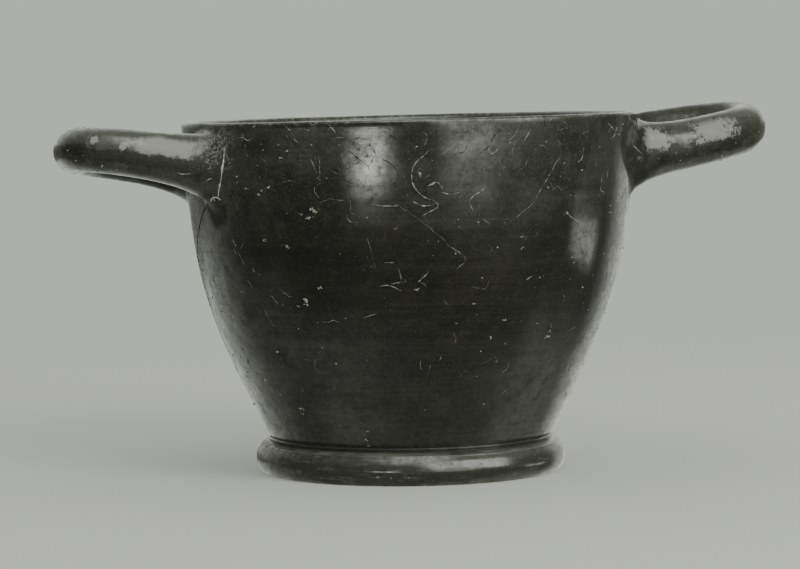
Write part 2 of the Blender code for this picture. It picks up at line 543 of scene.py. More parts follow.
def polyline(
    name: str,
    points: Rows,
    fields: dict[str, Rows],
    starts: Iterable[int] = (),
) -> Object:
    """Lines of points with their measures, for a tree to follow.

    Args:
        name: Name of the object.
        points: Rows of x, y and z.
        fields: Numbers or vectors kept on the points, by name.
        starts: Rows at which a new line starts.

    Returns:
        The object.
    """
    mesh = bpy.data.meshes.new(name)
    ends = sorted(set(range(1, len(points))) - set(starts))
    mesh.from_pydata(points.tolist(), [(number - 1, number) for number in ends], [])
    for key, values in fields.items():
        kind, what = ("FLOAT_VECTOR", "vector") if values.ndim > 1 else ("FLOAT", "value")
        made = mesh.attributes.new(key, kind, "POINT")
        made.data.foreach_set(what, values.astype(np.float32).ravel())
    return link(name, mesh)


def points_of(mesh: bpy.types.Mesh) -> Rows:
    """Reads the points of a mesh.

    Args:
        mesh: The mesh.

    Returns:
        Rows of x, y and z.
    """
    points = np.empty(len(mesh.vertices) * 3)
    mesh.vertices.foreach_get("co", points)
    return points.reshape(-1, 3)


def set_points(mesh: bpy.types.Mesh, points: Rows) -> None:
    """Moves the points of a mesh to those rows of x, y and z."""
    mesh.vertices.foreach_set("co", points.astype(np.float32).ravel())
    mesh.update()


def made_plain(made: Object) -> None:
    """Turns an object's modifiers into its plain mesh, and removes them.

    Args:
        made: The object.
    """
    graph = bpy.context.evaluated_depsgraph_get()
    mesh = bpy.data.meshes.new_from_object(made.evaluated_get(graph))
    mesh.name = made.name
    made.modifiers.clear()
    made.data = mesh


def cut_or_joined(made: Object, other: Object, **settings: str) -> None:
    """Runs a Boolean on an object, after which the other object is gone.

    Args:
        made: The object.
        other: What is joined to it or cuts it.
        settings: What the Boolean is set to.
    """
    joint = made.modifiers.new("joint", "BOOLEAN")
    for name, value in {"solver": "EXACT", "object": other, **settings}.items():
        setattr(joint, name, value)
    made_plain(made)
    bpy.data.objects.remove(other, do_unlink=True)


def tidied(mesh: bpy.types.Mesh, weld: float) -> None:
    """Merges points closer than the weld and turns every face outwards.

    Args:
        mesh: The mesh.
        weld: Distance under which points are merged.
    """
    shape = bmesh.new()
    shape.from_mesh(mesh)
    bmesh.ops.remove_doubles(shape, verts=shape.verts, dist=weld)
    bmesh.ops.recalc_face_normals(shape, faces=shape.faces)
    shape.to_mesh(mesh)
    shape.free()


# ------------------------------------------------------------------ the cup's body


@dataclass(frozen=True)
class Throwing:
    """How far out of true the cup was thrown."""

    mouth_rise: float = 0.0136  # towards the lean, for each unit of distance
    bowl_lean: float = 0.0066  # for each unit of height over the pivot
    pivot_height: float = 62.0 * MM
    lean_angle: float = math.radians(-14.5)  # from +X
    full_height: float = 96.0 * MM

    def place(self, points: Rows) -> Rows:
        """Moves points of the true cup to where they are on the thrown one.

        Args:
            points: Rows of x, y and z about the true turning axis.

        Returns:
            Rows of x, y and z in the row frame.
        """
        cosine, sine = math.cos(self.lean_angle), math.sin(self.lean_angle)
        x, y, z = points.T
        lean = self.bowl_lean * (z - self.pivot_height)
        rise = self.mouth_rise * (x * cosine + y * sine) * z / self.full_height
        return np.column_stack((x + AXIS_X + lean * cosine, y + lean * sine, z + rise))


@dataclass(frozen=True)
class RingFoot:
    """The ring foot: a rounded ring under a narrow shoulder, a groove and a fine ridge."""

    centre: Pair = (37.2 * MM, 3.95 * MM)
    half_width: float = 5.0 * MM
    half_height: float = 5.1 * MM
    mouldings: tuple[Pair, ...] = (  # radius and height in millimetres
        (39.0, 10.3),  # neck
        (38.65, 9.75),
        (39.0, 9.4),  # ridge
        (38.5, 8.9),  # groove
        (39.5, 8.45),
        (40.55, 7.95),  # shoulder
        (40.75, 7.55),  # scored line
    )
    score_depth: float = 0.1 * MM
    inner_radius: float = 33.4 * MM
    inner_bevel: float = 0.8 * MM
    recess_radius: float = 31.4 * MM
    recess_height: float = 5.2 * MM
    recess_middle: float = 5.8 * MM
    fine_spacing: float = 0.22 * MM
    ring_spacing: float = 0.6 * MM
    under_spacing: float = 2.4 * MM
    steps: int = 40

    def rows(self) -> Rows:
        """Works out the foot, from the neck down, under and in to the middle.

        Returns:
            Rows of radius and height.
        """
        mouldings = np.array(self.mouldings) * MM
        down = mouldings[-1, 1] - self.score_depth - self.centre[1]
        top = math.asin(down / self.half_height)
        rest = -math.asin(self.centre[1] / self.half_height)
        ring = arc(self.centre, self.half_width, self.half_height, top, rest, self.steps)
        under = np.array(
            (
                (self.inner_radius + self.inner_bevel, 0.0),
                (self.inner_radius, self.inner_bevel),
                (self.recess_radius, self.recess_height),
                (0.0, self.recess_middle),
            )
        )
        fine = evenly(np.vstack((mouldings, ring[0])), self.fine_spacing)
        round_it = evenly(ring, self.ring_spacing)[1:]
        return np.vstack((fine, round_it, under[:1], evenly(under[1:], self.under_spacing)))


@dataclass(frozen=True)
class Bowl:
    """The thrown bowl with its lip, as a profile turned about its axis."""

    height: float = 96.0 * MM
    lip_radius: float = 61.93 * MM
    lip_thickness: float = 3.6 * MM
    upper_flare: float = 0.098
    lower_flare: float = 0.474
    turn_radius: float = 117.0 * MM
    turn_steps: int = 40
    wall_at_turn: float = 4.2 * MM
    wall_at_base: float = 5.0 * MM
    floor_height: float = 11.3 * MM
    floor_fillet: float = 13.0 * MM
    fillet_steps: int = 16
    neck: Pair = (39.0 * MM, 10.3 * MM)
    swell: float = 0.24 * MM  # how far the wall under the lip is rounded out
    swell_base: float = 66.0 * MM
    outline_spacing: float = 0.5 * MM
    fine_spacing: float = 0.95 * MM
    fine_depth: float = 36.0 * MM  # how far down from the rim the rows are close together
    wall_spacing: float = 1.5 * MM
    inside_spacing: float = 2.3 * MM
    lip_steps: int = 6
    edge_radius: float = 0.8 * MM  # rounding of the lip's outer edge
    columns: int = 296
    crowding: float = 0.3  # how much closer the columns stand by the handles
    ring_height: float = 0.018 * MM  # relief of the marks of the wheel
    rings_per_metre: float = 230.0
    ring_sway: float = 0.0015
    marks_inside: float = 0.5  # share of that relief
    marks_on_foot: float = 0.6

    @property
    def half_lip(self) -> float:
        """Radius of the rounding of the lip."""
        return self.lip_thickness / 2

    @property
    def lip_centre(self) -> Pair:
        """Radius and height of the centre of the lip's rounding."""
        return self.lip_radius - self.half_lip, self.height - self.half_lip

    @property
    def edge_centre(self) -> Pair:
        """Radius and height of the centre of the rounding of the outer edge."""
        return self.lip_radius - self.edge_radius, self.height - self.edge_radius

    def wall_line(
        self, top: Pair, bottom: Pair, radius: float
    ) -> Rows:
        """The line of a wall: two flares joined by an arc.

        Args:
            top: Radius and height of its upper end.
            bottom: Radius and height of its lower end.
            radius: Radius of the arc.

        Returns:
            Rows of radius and height, from the top down.
        """
        upper, lower = math.atan(self.upper_flare), math.atan(self.lower_flare)
        rise = top[1] - bottom[1]
        run = self.lower_flare - self.upper_flare
        corner_rise = (top[0] - bottom[0] - self.upper_flare * rise) / run
        corner = (bottom[0] + self.lower_flare * corner_rise, bottom[1] + corner_rise)
        tangent = radius * math.tan((lower - upper) / 2)
        start = (corner[0] + tangent * math.sin(upper), corner[1] + tangent * math.cos(upper))
        centre = (start[0] - radius * math.cos(upper), start[1] + radius * math.sin(upper))
        bend = arc(centre, radius, radius, -upper, -lower, self.turn_steps)
        return np.vstack((top, bend, bottom))

    def outer_line(self) -> Rows:
        """Works out the outer wall, from the lip down to the neck.

        Returns:
            Rows of radius and height.
        """
        top = (self.lip_radius, self.edge_centre[1])
        line = self.wall_line(top, self.neck, self.turn_radius)
        line = evenly(line, self.outline_spacing)
        share = np.clip((line[:, 1] - self.swell_base) / (top[1] - self.swell_base), 0.0, 1.0)
        line[:, 0] += self.swell * np.sin(math.pi * share)
        return line

    def inside_line(self) -> Rows:
        """Works out the inside, from the middle of the floor up to the lip.

        Returns:
            Rows of radius and height.
        """
        lower, fillet = math.atan(self.lower_flare), self.floor_fillet
        height = self.floor_height + fillet * (1 - math.sin(lower))
        radius = self.neck[0] + self.lower_flare * (height - self.neck[1]) - self.wall_at_base
        top = (self.lip_radius - self.lip_thickness, self.lip_centre[1])
        wall = self.wall_line(top, (radius, height), self.turn_radius + self.wall_at_turn)
        centre = (radius - fillet * math.cos(lower), self.floor_height + fillet)
        bend = arc(centre, fillet, fillet, -QUARTER_TURN, -lower, self.fillet_steps)
        return np.vstack(((0.0, self.floor_height), bend[:-1], wall[::-1]))

    def rows(self, foot: RingFoot) -> tuple[Rows, Rows]:
        """The whole profile, from the middle of the floor over the lip to the underside.

        Args:
            foot: The ring foot under the bowl.

        Returns:
            Rows of radius and height, and how far each takes the marks of the wheel.
        """
        half, edge = self.half_lip, self.edge_radius
        inner = arc(self.lip_centre, half, half, math.pi, QUARTER_TURN, self.lip_steps)
        outer = arc(self.edge_centre, edge, edge, QUARTER_TURN, 0.0, self.lip_steps)
        outside = self.outer_line()
        fine = outside[:, 1] > self.height - self.fine_depth
        high, low = outside[fine], outside[~fine]
        stretches = (
            (self.marks_inside, evenly(self.inside_line(), self.inside_spacing)),
            (0.0, np.vstack((inner, outer))[1:]),
            (1.0, evenly(high, self.fine_spacing)[1:]),
            (1.0, evenly(np.vstack((high[-1], low)), self.wall_spacing)[1:]),
            (self.marks_on_foot, foot.rows()[1:]),
        )
        marked = [np.full(len(rows), share) for share, rows in stretches]
        return np.vstack([rows for _, rows in stretches]), np.concatenate(marked)

    def turned(self, foot: RingFoot) -> Object:
        """Turns the bowl and its foot as one closed body.

        Args:
            foot: The ring foot under the bowl.

        Returns:
            The object, about the true turning axis.
        """
        rows, marked = self.rows(foot)
        profile = np.column_stack((rows[:, 0], np.zeros(len(rows)), rows[:, 1]))
        made = polyline("bowl", profile, {"marked": marked})
        wheel = ShapeTree("throwing_wheel")
        columns, crowding, ring_height, ring_scale = wheel.sizes(
            self, "columns", "crowding", "ring_height", "rings_per_metre"
        )
        grid, row, column = wheel.grid(columns + 1, len(rows))
        radius, _, height = wheel.split(wheel.sampled(wheel.here(), row, True))
        share = wheel.sampled(wheel.kept("marked"), row)
        turn = column / columns * WHOLE_TURN
        turn = turn - crowding / 2 * wheel.maths("SINE", turn * 2)
        sine, cosine = wheel.maths("SINE", turn), wheel.maths("COSINE", turn)
        level = height + sine * self.ring_sway
        sockets = {"W": level, "Scale": ring_scale, "Detail": 3.0, "Roughness": 0.6}
        rings = wheel.add("ShaderNodeTexNoise", {"noise_dimensions": "1D"}, sockets)
        solid = wheel.eased(radius, 0.5 * MM, 6 * MM)
        radius = radius + (rings - 0.5) * 2 * ring_height * share * solid
        wheel.close(made, grid, wheel.joined(radius * cosine, radius * sine, height))
        return made

    def radius_at(self, height: Rows | float) -> Rows:
        """Radius of the outer wall at a height."""
        line = self.outer_line()[::-1]
        return np.interp(height, line[:, 1], line[:, 0])

    def distance(self, points: Rows) -> Rows:
        """Distance of points outside the outer wall and lip, negative within them.

        Args:
            points: Rows of x, y and z about the turning axis.

        Returns:
            One distance for each point.
        """
        line = self.outer_line()[::-1]
        radius = np.hypot(points[:, 0], points[:, 1])
        height = points[:, 2]
        slope = np.interp(height, line[:, 1], np.gradient(line[:, 0], line[:, 1]))
        beside = (radius - self.radius_at(height)) / np.hypot(1.0, slope)
        edge_radius, edge_height = self.edge_centre
        beyond = np.maximum(radius - edge_radius, 0.0)
        over = np.hypot(beyond, height - edge_height) - self.edge_radius
        return np.where(height > edge_height, over, beside)


class Side(Enum):
    """Which end of the cup a handle is on, by the way it points along X."""

    LEFT = -1
    RIGHT = 1


@dataclass(frozen=True)
class LoopHandle:
    """One rolled loop handle, measured from the turning axis of the bowl."""

    name: str
    side: Side
    reach: float
    spread: float
    root_height: float
    bow_height: float
    rise_power: float
    roundness: float
    twist: float
    twist_power: float
    half_height: float
    half_width: float
    arm_swell: float
    root_half_height: float
    root_flare: float
    root_half_width: float = 7.1 * MM
    root_depth: float = 1.9 * MM
    blend_low: float = 1.6 * MM  # smoothing under the root
    blend_high: float = 6.0 * MM  # and over it, at the near root
    blend_far: float = 1.6 * MM  # and at the far root
    blend_at_lip: float = 0.15  # share of it left by the lip
    blend_band: Pair = (-9 * MM, 2 * MM)  # from the root height, where low turns to high
    far_band: float = 10 * MM  # distance behind the axis over which near turns to far
    lip_band: Pair = (91 * MM, 95 * MM)
    sections: int = 100
    sides: int = 60
    buried: float = 6.0 * MM
    samples: int = 500
    fine_samples: int = 4001
    batch: int = 4096

    def path(self, bowl: Bowl, count: int, buried: float = 0.0) -> dict[str, Rows]:
        """The centre line at even distances, with the section's sizes along it.

        Args:
            bowl: The bowl it stands on.
            count: How many places along it.
            buried: How far the line runs on inside the wall at both ends.

        Returns:
            Arrays by name: middle, sideways, half_height, half_width and tilt.
        """
        turn = np.linspace(-QUARTER_TURN, QUARTER_TURN, self.fine_samples)
        cosine = np.abs(np.cos(turn))
        cosine[0] = cosine[-1] = 0.0
        out = cosine ** (2 / self.roundness)
        across = np.sign(turn) * np.abs(np.sin(turn)) ** (2 / self.roundness)
        below_lip = bowl.lip_centre[1] - self.root_height
        root_radius = bowl.lip_radius - bowl.upper_flare * below_lip
        root = math.sqrt(root_radius**2 - self.spread**2) - self.root_depth
        bow = self.reach - self.half_width
        line = np.column_stack((root + (bow - root) * out, self.spread * across, out))
        if buried:
            near, far = ((root - buried, end * self.spread, 0.0) for end in (-1, 1))
            line = np.vstack((near, line, far))
        run = run_along(line[:, :2])
        wanted = np.linspace(0.0, run[-1], count)
        x, y, out = (np.interp(wanted, run, column) for column in line.T)
        rise = (self.bow_height - self.root_height) * out**self.rise_power
        along = np.gradient(np.column_stack((x, y)), axis=0)
        along /= np.linalg.norm(along, axis=1)[:, None]
        flare = np.exp(-np.maximum(x - root, -0.5 * MM) / self.root_flare)
        arm = self.half_height + self.arm_swell * (1 - out)
        return {
            "middle": np.column_stack((x, y, self.root_height + rise)),
            "sideways": np.column_stack((along[:, 1], -along[:, 0], 0 * x)),
            "half_height": arm + (self.root_half_height - arm) * flare,
            "half_width": self.half_width + (self.root_half_width - self.half_width) * flare,
            "tilt": self.twist * self.side.value * out**self.twist_power,
        }

    def rolled(self, bowl: Bowl) -> Object:
        """Rolls the handle as a closed body whose ends lie inside the wall.

        Args:
            bowl: The bowl it stands on.

        Returns:
            The object.
        """
        path = self.path(bowl, self.sections)
        path["end"] = np.zeros(self.sections)
        path["end"][[0, -1]] = 1.0
        guide = {key: np.concatenate((row[:1], row, row[-1:])) for key, row in path.items()}
        for key in ("half_height", "half_width"):
            guide[key][[0, -1]] = 0.0
        made = polyline(self.name, guide.pop("middle"), guide)
        board = ShapeTree("rolling_board")
        sides = board.size("sides", self.sides)
        side = board.size("side", float(self.side.value))
        grid, step, row = board.grid(self.sections + 2, sides + 1)
        turn = step / sides * WHOLE_TURN
        half_height, half_width, tilt, end = (
            board.sampled(board.kept(key), row)
            for key in ("half_height", "half_width", "tilt", "end")
        )
        sideways = board.sampled(board.kept("sideways", True), row, True)
        middle = board.sampled(board.here(), row, True)
        wide = board.scaled(sideways, half_width * board.maths("COSINE", turn))
        x, y, z = board.split(board.vectors("ADD", middle, wide))
        z = z + half_height * board.maths("SINE", turn) + tilt * y
        low_z = board.maths("MINIMUM", z, bowl.lip_centre[1] - bowl.half_lip)
        clay = bowl.lip_radius - self.root_depth
        clay = (low_z - bowl.lip_centre[1]) * bowl.upper_flare + clay
        in_clay = board.maths("SQRT", clay * clay - y * y)
        x = x + (in_clay - x) * end
        board.close(made, grid, board.joined(x * side, y * side, z))
        return made

    def distance(self, bowl: Bowl, points: Rows) -> Rows:
        """Distance of points outside the handle, negative within it.

        Args:
            bowl: The bowl it stands on.
            points: Rows of x, y and z about the turning axis.

        Returns:
            One distance for each point, true close to the surface.
        """
        path = self.path(bowl, self.samples, self.buried)
        x, y = self.side.value * points[:, 0], self.side.value * points[:, 1]
        middle = path["middle"]
        spacing = np.linalg.norm(middle[1, :2] - middle[0, :2])
        nearest = np.empty(len(points), int)
        for start in range(0, len(points), self.batch):
            part = slice(start, start + self.batch)
            apart = (x[part, None] - middle[:, 0]) ** 2 + (y[part, None] - middle[:, 1]) ** 2
            nearest[part] = apart.argmin(axis=1)
        side = path["sideways"][nearest]
        offset = np.column_stack((x, y)) - middle[nearest, :2]
        along = (-side[:, 1] * offset[:, 0] + side[:, 0] * offset[:, 1]) / spacing
        place = nearest + np.clip(along, -1.0, 1.0)
        number = np.arange(self.samples)
        columns = (path["half_height"], path["half_width"], path["tilt"])
        columns = (*columns, *middle.T, *path["sideways"].T[:2])
        half_height, half_width, tilt, middle_x, middle_y, middle_z, side_x, side_y = (
            np.interp(place, number, column) for column in columns
        )
        wide = (x - middle_x) * side_x + (y - middle_y) * side_y
        tall = points[:, 2] - middle_z - tilt * y
        share = np.hypot(wide / half_width, tall / half_height)
        steep = np.hypot(wide / half_width**2, tall / half_height**2)
        outside = (share - 1.0) * share / np.maximum(steep, 1e-9)
        return np.where(x > 0, outside, self.reach)

    def blend(self, points: Rows) -> Rows:
        """How far the clay is smoothed over between wall and handle.

        Args:
            points: Rows of x, y and z about the turning axis.

        Returns:
            One width for each point.
        """
        high = eased(points[:, 2], *(self.root_height + edge for edge in self.blend_band))
        far = eased(points[:, 1], 0.0, self.far_band)
        over = self.blend_high + (self.blend_far - self.blend_high) * far
        by_lip = eased(points[:, 2], *self.lip_band)
        under_lip = 1.0 - by_lip * (1.0 - self.blend_at_lip)
        return (self.blend_low + (over - self.blend_low) * high) * under_lip


RIGHT_HANDLE = LoopHandle(
    name="right_handle",
    side=Side.RIGHT,
    reach=102.05 * MM,
    spread=16.9 * MM,
    root_height=84.4 * MM,
    bow_height=90.9 * MM,
    rise_power=0.82,
    roundness=2.0,
    twist=0.092,
    twist_power=0.36,
    half_height=6.6 * MM,
    half_width=5.7 * MM,
    arm_swell=0.3 * MM,
    root_half_height=10.6 * MM,
    root_flare=4.8 * MM,
)
LEFT_HANDLE = LoopHandle(
    name="left_handle",
    side=Side.LEFT,
    reach=97.05 * MM,
    spread=17.2 * MM,
    root_height=82.6 * MM,
    bow_height=89.5 * MM,
    rise_power=0.64,
    roundness=2.5,
    twist=-0.065,
    twist_power=0.65,
    half_height=6.05 * MM,
    half_width=6.1 * MM,
    arm_swell=0.35 * MM,
    root_half_height=10.3 * MM,
    root_flare=7.6 * MM,
)


@dataclass
class Cup:
    """The whole fired cup: bowl, foot and both handles as one body."""

    bowl: Bowl = field(default_factory=Bowl)
    foot: RingFoot = field(default_factory=RingFoot)
    handles: tuple[LoopHandle, ...] = (RIGHT_HANDLE, LEFT_HANDLE)
    throwing: Throwing = field(default_factory=Throwing)
    weld: float = 0.12 * MM
    smoothing_rounds: int = 8
    smoothing_margin: float = 0.6 * MM
    probe: float = 0.01 * MM
    bowl_touch: float = 0.09 * MM  # unevenness left by the hands
    handle_touch: float = 0.2 * MM
    touches_per_metre: float = 62.0
    handles_from: Pair = (62 * MM, 70 * MM)  # distance from the axis where they start

    def build(self) -> Object:
        """Builds the cup in one closed body.

        Returns:
            The object, in place.
        """
        cup = self.bowl.turned(self.foot)
        for handle in self.handles:
            cut_or_joined(cup, handle.rolled(self.bowl), operation="UNION")
            tidied(cup.data, self.weld)
        self.smooth_joints(cup.data)
        self.touch(cup)
        set_points(cup.data, self.throwing.place(points_of(cup.data)))
        cup.name = cup.data.name = "cup"
        tidied(cup.data, WELD)
        cup.data.shade_smooth()
        return cup

    def sowing_ground(self) -> Object:
        """Lays the bowl and handles together unjoined, the same in every run.

        Returns:
            The object, which is taken away once the crumbs are sown on it.
        """
        laid = bmesh.new()
        rolled = [handle.rolled(self.bowl) for handle in self.handles]
        for part in (self.bowl.turned(self.foot), *rolled):
            laid.from_mesh(part.data)
            bpy.data.objects.remove(part, do_unlink=True)
        mesh = bpy.data.meshes.new("ground")
        laid.to_mesh(mesh)
        laid.free()
        set_points(mesh, self.throwing.place(points_of(mesh)))
        return link("ground", mesh)

    def touch(self, cup: Object) -> None:
        """Presses the slight unevenness of hand work into the clay.

        Args:
            cup: The joined cup, about its true axis.
        """
        hand = ShapeTree("hand_touch")
        bowl, handle, touches = hand.sizes(
            self, "bowl_touch", "handle_touch", "touches_per_metre"
        )
        x, y, _ = hand.split(hand.here())
        out = hand.vectors("LENGTH", hand.joined(x, y, 0.0), out=1)
        depth = bowl + (handle - bowl) * hand.eased(out, *self.handles_from)
        press = hand.noise(hand.here(), touches, 1.5, 0.4) * depth
        offset = hand.scaled(hand.add("GeometryNodeInputNormal"), press * -1)
        hand.run(cup, hand.moved(hand.geometry, Offset=offset))

    def joined(self, points: Rows) -> Rows:
        """Distance outside the cup where wall and handles flow into each other.

        Args:
            points: Rows of x, y and z about the turning axis.

        Returns:
            One distance for each point.
        """
        wall = self.bowl.distance(points)
        result = wall
        for handle in self.handles:
            arm = handle.distance(self.bowl, points)
            width = handle.blend(points)
            share = np.maximum(width - np.abs(wall - arm), 0.0) / width
            result = np.minimum(result, np.minimum(wall, arm) - share**2 * width / 4)
        return result

    def by_joints(self, points: Rows) -> Rows:
        """How much of the smoothing each point takes.

        Args:
            points: Rows of x, y and z about the turning axis.

        Returns:
            A share for each point: 0 away from the joints and inside the bowl.
        """
        wall = self.bowl.distance(points)
        near = np.zeros(len(points), bool)
        for handle in self.handles:
            arm = handle.distance(self.bowl, points)
            reach = handle.blend(points) + self.smoothing_margin
            near |= (np.abs(arm) < reach) & (np.abs(wall) < reach)
        radius = np.hypot(points[:, 0], points[:, 1])
        lip_radius, lip_height = self.bowl.lip_centre
        lip_wear_and_sheen = eased(radius, lip_radius, self.bowl.lip_radius - 0.4 * MM)
        outside = (wall > -self.bowl.half_lip) * 1.0
        return near * np.where(points[:, 2] > lip_height, lip_wear_and_sheen, outside)

    def smooth_joints(self, mesh: bpy.types.Mesh) -> None:
        """Smooths the clay between each handle and the wall into a fillet.

        Args:
            mesh: The mesh of the joined cup, about its true axis.
        """
        points = points_of(mesh)
        share = self.by_joints(points)
        chosen = np.flatnonzero(share > 0)
        log.info("smoothing %d points of the joints", len(chosen))
        pairs = np.empty(len(mesh.edges) * 2, int)
        mesh.edges.foreach_get("vertices", pairs)
        pairs = pairs.reshape(-1, 2)
        number = np.full(len(points), -1)
        number[chosen] = np.arange(len(chosen))
        ends = np.vstack((pairs, pairs[:, ::-1]))
        ends = ends[number[ends[:, 0]] >= 0]
        owner = number[ends[:, 0]]
        count = np.bincount(owner, minlength=len(chosen))
        moved = points.copy()
        moved[chosen] = self.drawn_on(moved[chosen])
        for _ in range(self.smoothing_rounds - 1):
            total = np.zeros((len(chosen), 3))
            np.add.at(total, owner, moved[ends[:, 1]])
            moved[chosen] += 0.5 * (total / count[:, None] - moved[chosen])
            moved[chosen] = self.drawn_on(moved[chosen])
        moved[chosen] = self.drawn_on(moved[chosen])
        points[chosen] += share[chosen, None] * (moved[chosen] - points[chosen])
        set_points(mesh, points)

    def drawn_on(self, points: Rows) -> Rows:
        """Moves points straight onto the smoothed surface of the cup.

        Args:
            points: Rows of x, y and z close to the surface.

        Returns:
            The moved rows.
        """
        here = self.joined(points)
        slope = np.empty_like(points)
        for axis, step in enumerate(np.eye(3) * self.probe):
            ahead, behind = self.joined(points + step), self.joined(points - step)
            slope[:, axis] = (ahead - behind) / (2 * self.probe)
        steep = np.maximum((slope**2).sum(axis=1), 0.2)
        return points - slope * (here / steep)[:, None]


# ------------------------------------------------------------------ what age left on it


@dataclass(frozen=True)
class Wall:
    """The outside of the finished cup, as places to put things on."""

    bowl: Bowl
    skin: BVHTree
    ground: Object  # the unjoined bowl and handles, which crumbs are sown on
    start: float = 12 * MM  # how far out a place is looked for
    reach: float = 1.3  # how far in from there, as a share of that

    def place(self, bearing: float, height: float) -> Rows:
        """The outermost point of the cup at a bearing and height, roots included.

        Args:
            bearing: Degrees from the front towards +X.
            height: Millimetres above the table.

        Returns:
            Its x, y and z in the row frame.
        """
        turn, level = math.radians(bearing), height * MM
        outward = Vector((math.sin(turn), -math.cos(turn), 0.0))
        aim = Vector((AXIS_X, 0.0, level)) + outward * float(self.bowl.radius_at(level))
        begin = aim + outward * self.start
        found = self.skin.ray_cast(begin, -outward, self.start * self.reach)[0]
        return np.array(found or self.skin.find_nearest(aim)[0])


@dataclass(frozen=True)
class Trace:
    """A line on the wall through given places."""

    corners: tuple[Pair, ...]  # bearing in degrees, height in millimetres
    thickness: float = 0.12  # millimetres, half of the line's width

    def points(self, wall: Wall) -> Rows:
        """The corners of the line, as rows of x, y and z."""
        return np.array([wall.place(bearing, height) for bearing, height in self.corners])


@dataclass(frozen=True)
class Line:
    """A line drawn on the wall from one place, leg by leg."""

    bearing: float
    height: float
    legs: tuple[Pair, ...]  # heading in degrees (90 is up) and millimetres
    thickness: float = 0.12  # millimetres, half of the line's width

    def points(self, wall: Wall) -> Rows:
        """Follows the legs.

        Args:
            wall: Where the line is.

        Returns:
            The corners of the line, as rows of x, y and z.
        """
        bearing, height = self.bearing, self.height
        found = [wall.place(bearing, height)]
        for heading, length in self.legs:
            turn = math.radians(heading)
            radius = float(wall.bowl.radius_at(height * MM)) / MM
            bearing += math.degrees(length * math.cos(turn) / radius)
            height += length * math.sin(turn)
            found.append(wall.place(bearing, height))
        return np.array(found)


CRACK = Trace(
    (
        (-76.2, 74.6), (-77.4, 73.6), (-80.9, 71.3), (-84.2, 68.4), (-88.4, 65.2), (-91.9, 61.7),
        (-95.7, 58.1), (-98.5, 54.6), (-99.2, 51), (-98.2, 49.2),
    )
)

ROOT_MARKS = (
    # the curl in the middle of the front, from under the lip down
    Line(-9, 88.5, ((-138, 6), (-101, 4), (-60, 4), (-28, 4.5), (-75, 1.5), (-151, 4)), 0.16),
    Line(-10, 79, ((22, 2.5), (-45, 2)), 0.22),
    Line(-14, 75.5, ((-30, 2.5), (-5, 3), (30, 1.5)), 0.2),
    Line(-6.5, 77.5, ((-20, 2), (10, 2.5)), 0.16), Line(-12, 82.5, ((-75, 1.6),), 0.24),
    Line(-23.5, 74.5, ((-8, 4), (5, 3)), 0.16), Line(-37, 75, ((15, 3), (-5, 4)), 0.07),
    # the pair at the left of the first highlight
    Line(-38.5, 86, ((-68, 6),), 0.12), Line(-36.5, 88.5, ((-89, 8),), 0.1),
    Line(-28.5, 84.5, ((-58, 4.5),), 0.2), Line(-34, 93, ((50, 1.5), (-50, 2)), 0.12),
    # between and beside the highlights
    Line(4, 78, ((-147, 4.5), (-75, 3.5)), 0.12), Line(4.5, 88.5, ((-52, 2), (42, 3)), 0.14),
    Line(16, 93, ((-127, 4),), 0.11), Line(-2.5, 68.5, ((-29, 1.5),), 0.14),
    Line(-2, 91, ((-142, 7),), 0.06), Line(28.5, 71, ((-27, 6),), 0.1),
    # the long fine line down the right of the front
    Line(25, 86, ((-125, 10.5), (-125, 4.5), (-144, 7.5)), 0.07),
    Line(-19, 75.5, ((-35, 10.5), (-41, 14)), 0.027), Line(-5, 64, ((-38, 6), (-133, 4)), 0.075),
    Line(-25, 66, ((-77, 9),), 0.04),
    # the lower group
    Line(-12.5, 54.5, ((43, 3), (53, 0.6)), 0.24), Line(-21, 59.5, ((0, 2.5),), 0.1),
    Line(-17.5, 58, ((-74, 3.5),), 0.1), Line(-22.5, 53.5, ((0, 3), (-25, 3)), 0.1),
    Line(-19.5, 54, ((9, 4),), 0.09), Line(19, 55, ((-159, 2.5),), 0.09),
    Line(-28, 45, ((18, 4.5),), 0.07), Line(-5.5, 35, ((-117, 2),), 0.1),
    # the left side and by the roots of the handles
    Trace(((-66.4, 65.1), (-65.6, 63.9), (-65, 62.8)), 0.14),
    Trace(((-65, 62.8), (-63.9, 60.5), (-62.6, 58)), 0.04),
    Trace(((-59.7, 57.8), (-59.2, 56.4)), 0.22), Trace(((-47.4, 64), (-46.5, 62.9)), 0.2),
    Trace(((-59.2, 47.9), (-57.7, 45), (-56.3, 42.2)), 0.035),
    Trace(((-61, 91.5), (-58.5, 91.6)), 0.08),
    Trace(((-59.2, 90.3), (-58.6, 91.6), (-58.3, 92.9)), 0.08),
    Trace(((-58.8, 91.9), (-57, 90.9), (-55.2, 91.7)), 0.08),
    Trace(((-44.5, 91.3), (-45, 92.6), (-43.8, 93.5), (-42.9, 92)), 0.07),
    Trace(((-43, 91.3), (-42.1, 90.2)), 0.2),
    Trace(((-47, 80), (-44.5, 80.6), (-42.1, 80.1)), 0.08),
    Trace(((-66.4, 94.6), (-65.6, 92.5), (-65.1, 89.6)), 0.05),
    Trace(((-69.1, 93.2), (-66.6, 91.1), (-65.2, 89)), 0.07),
    Trace(((-69.6, 80), (-68.8, 80.5), (-68, 81)), 0.13),
    Trace(((-64.2, 84.5), (-63.3, 85)), 0.13),
    Trace(((-71.9, 82.5), (-71, 82.1), (-70.4, 82.4)), 0.12),
    Trace(((61.6, 89), (62.6, 88), (65.2, 86.6), (67.9, 85)), 0.17),
    Trace(((42.7, 94.1), (44.4, 93.3), (46.1, 92.2)), 0.12),
    Line(-34, 93, ((50, 1.5), (-50, 2)), 0.12), Line(33, 88, ((-100, 3), (-150, 2)), 0.09),
)

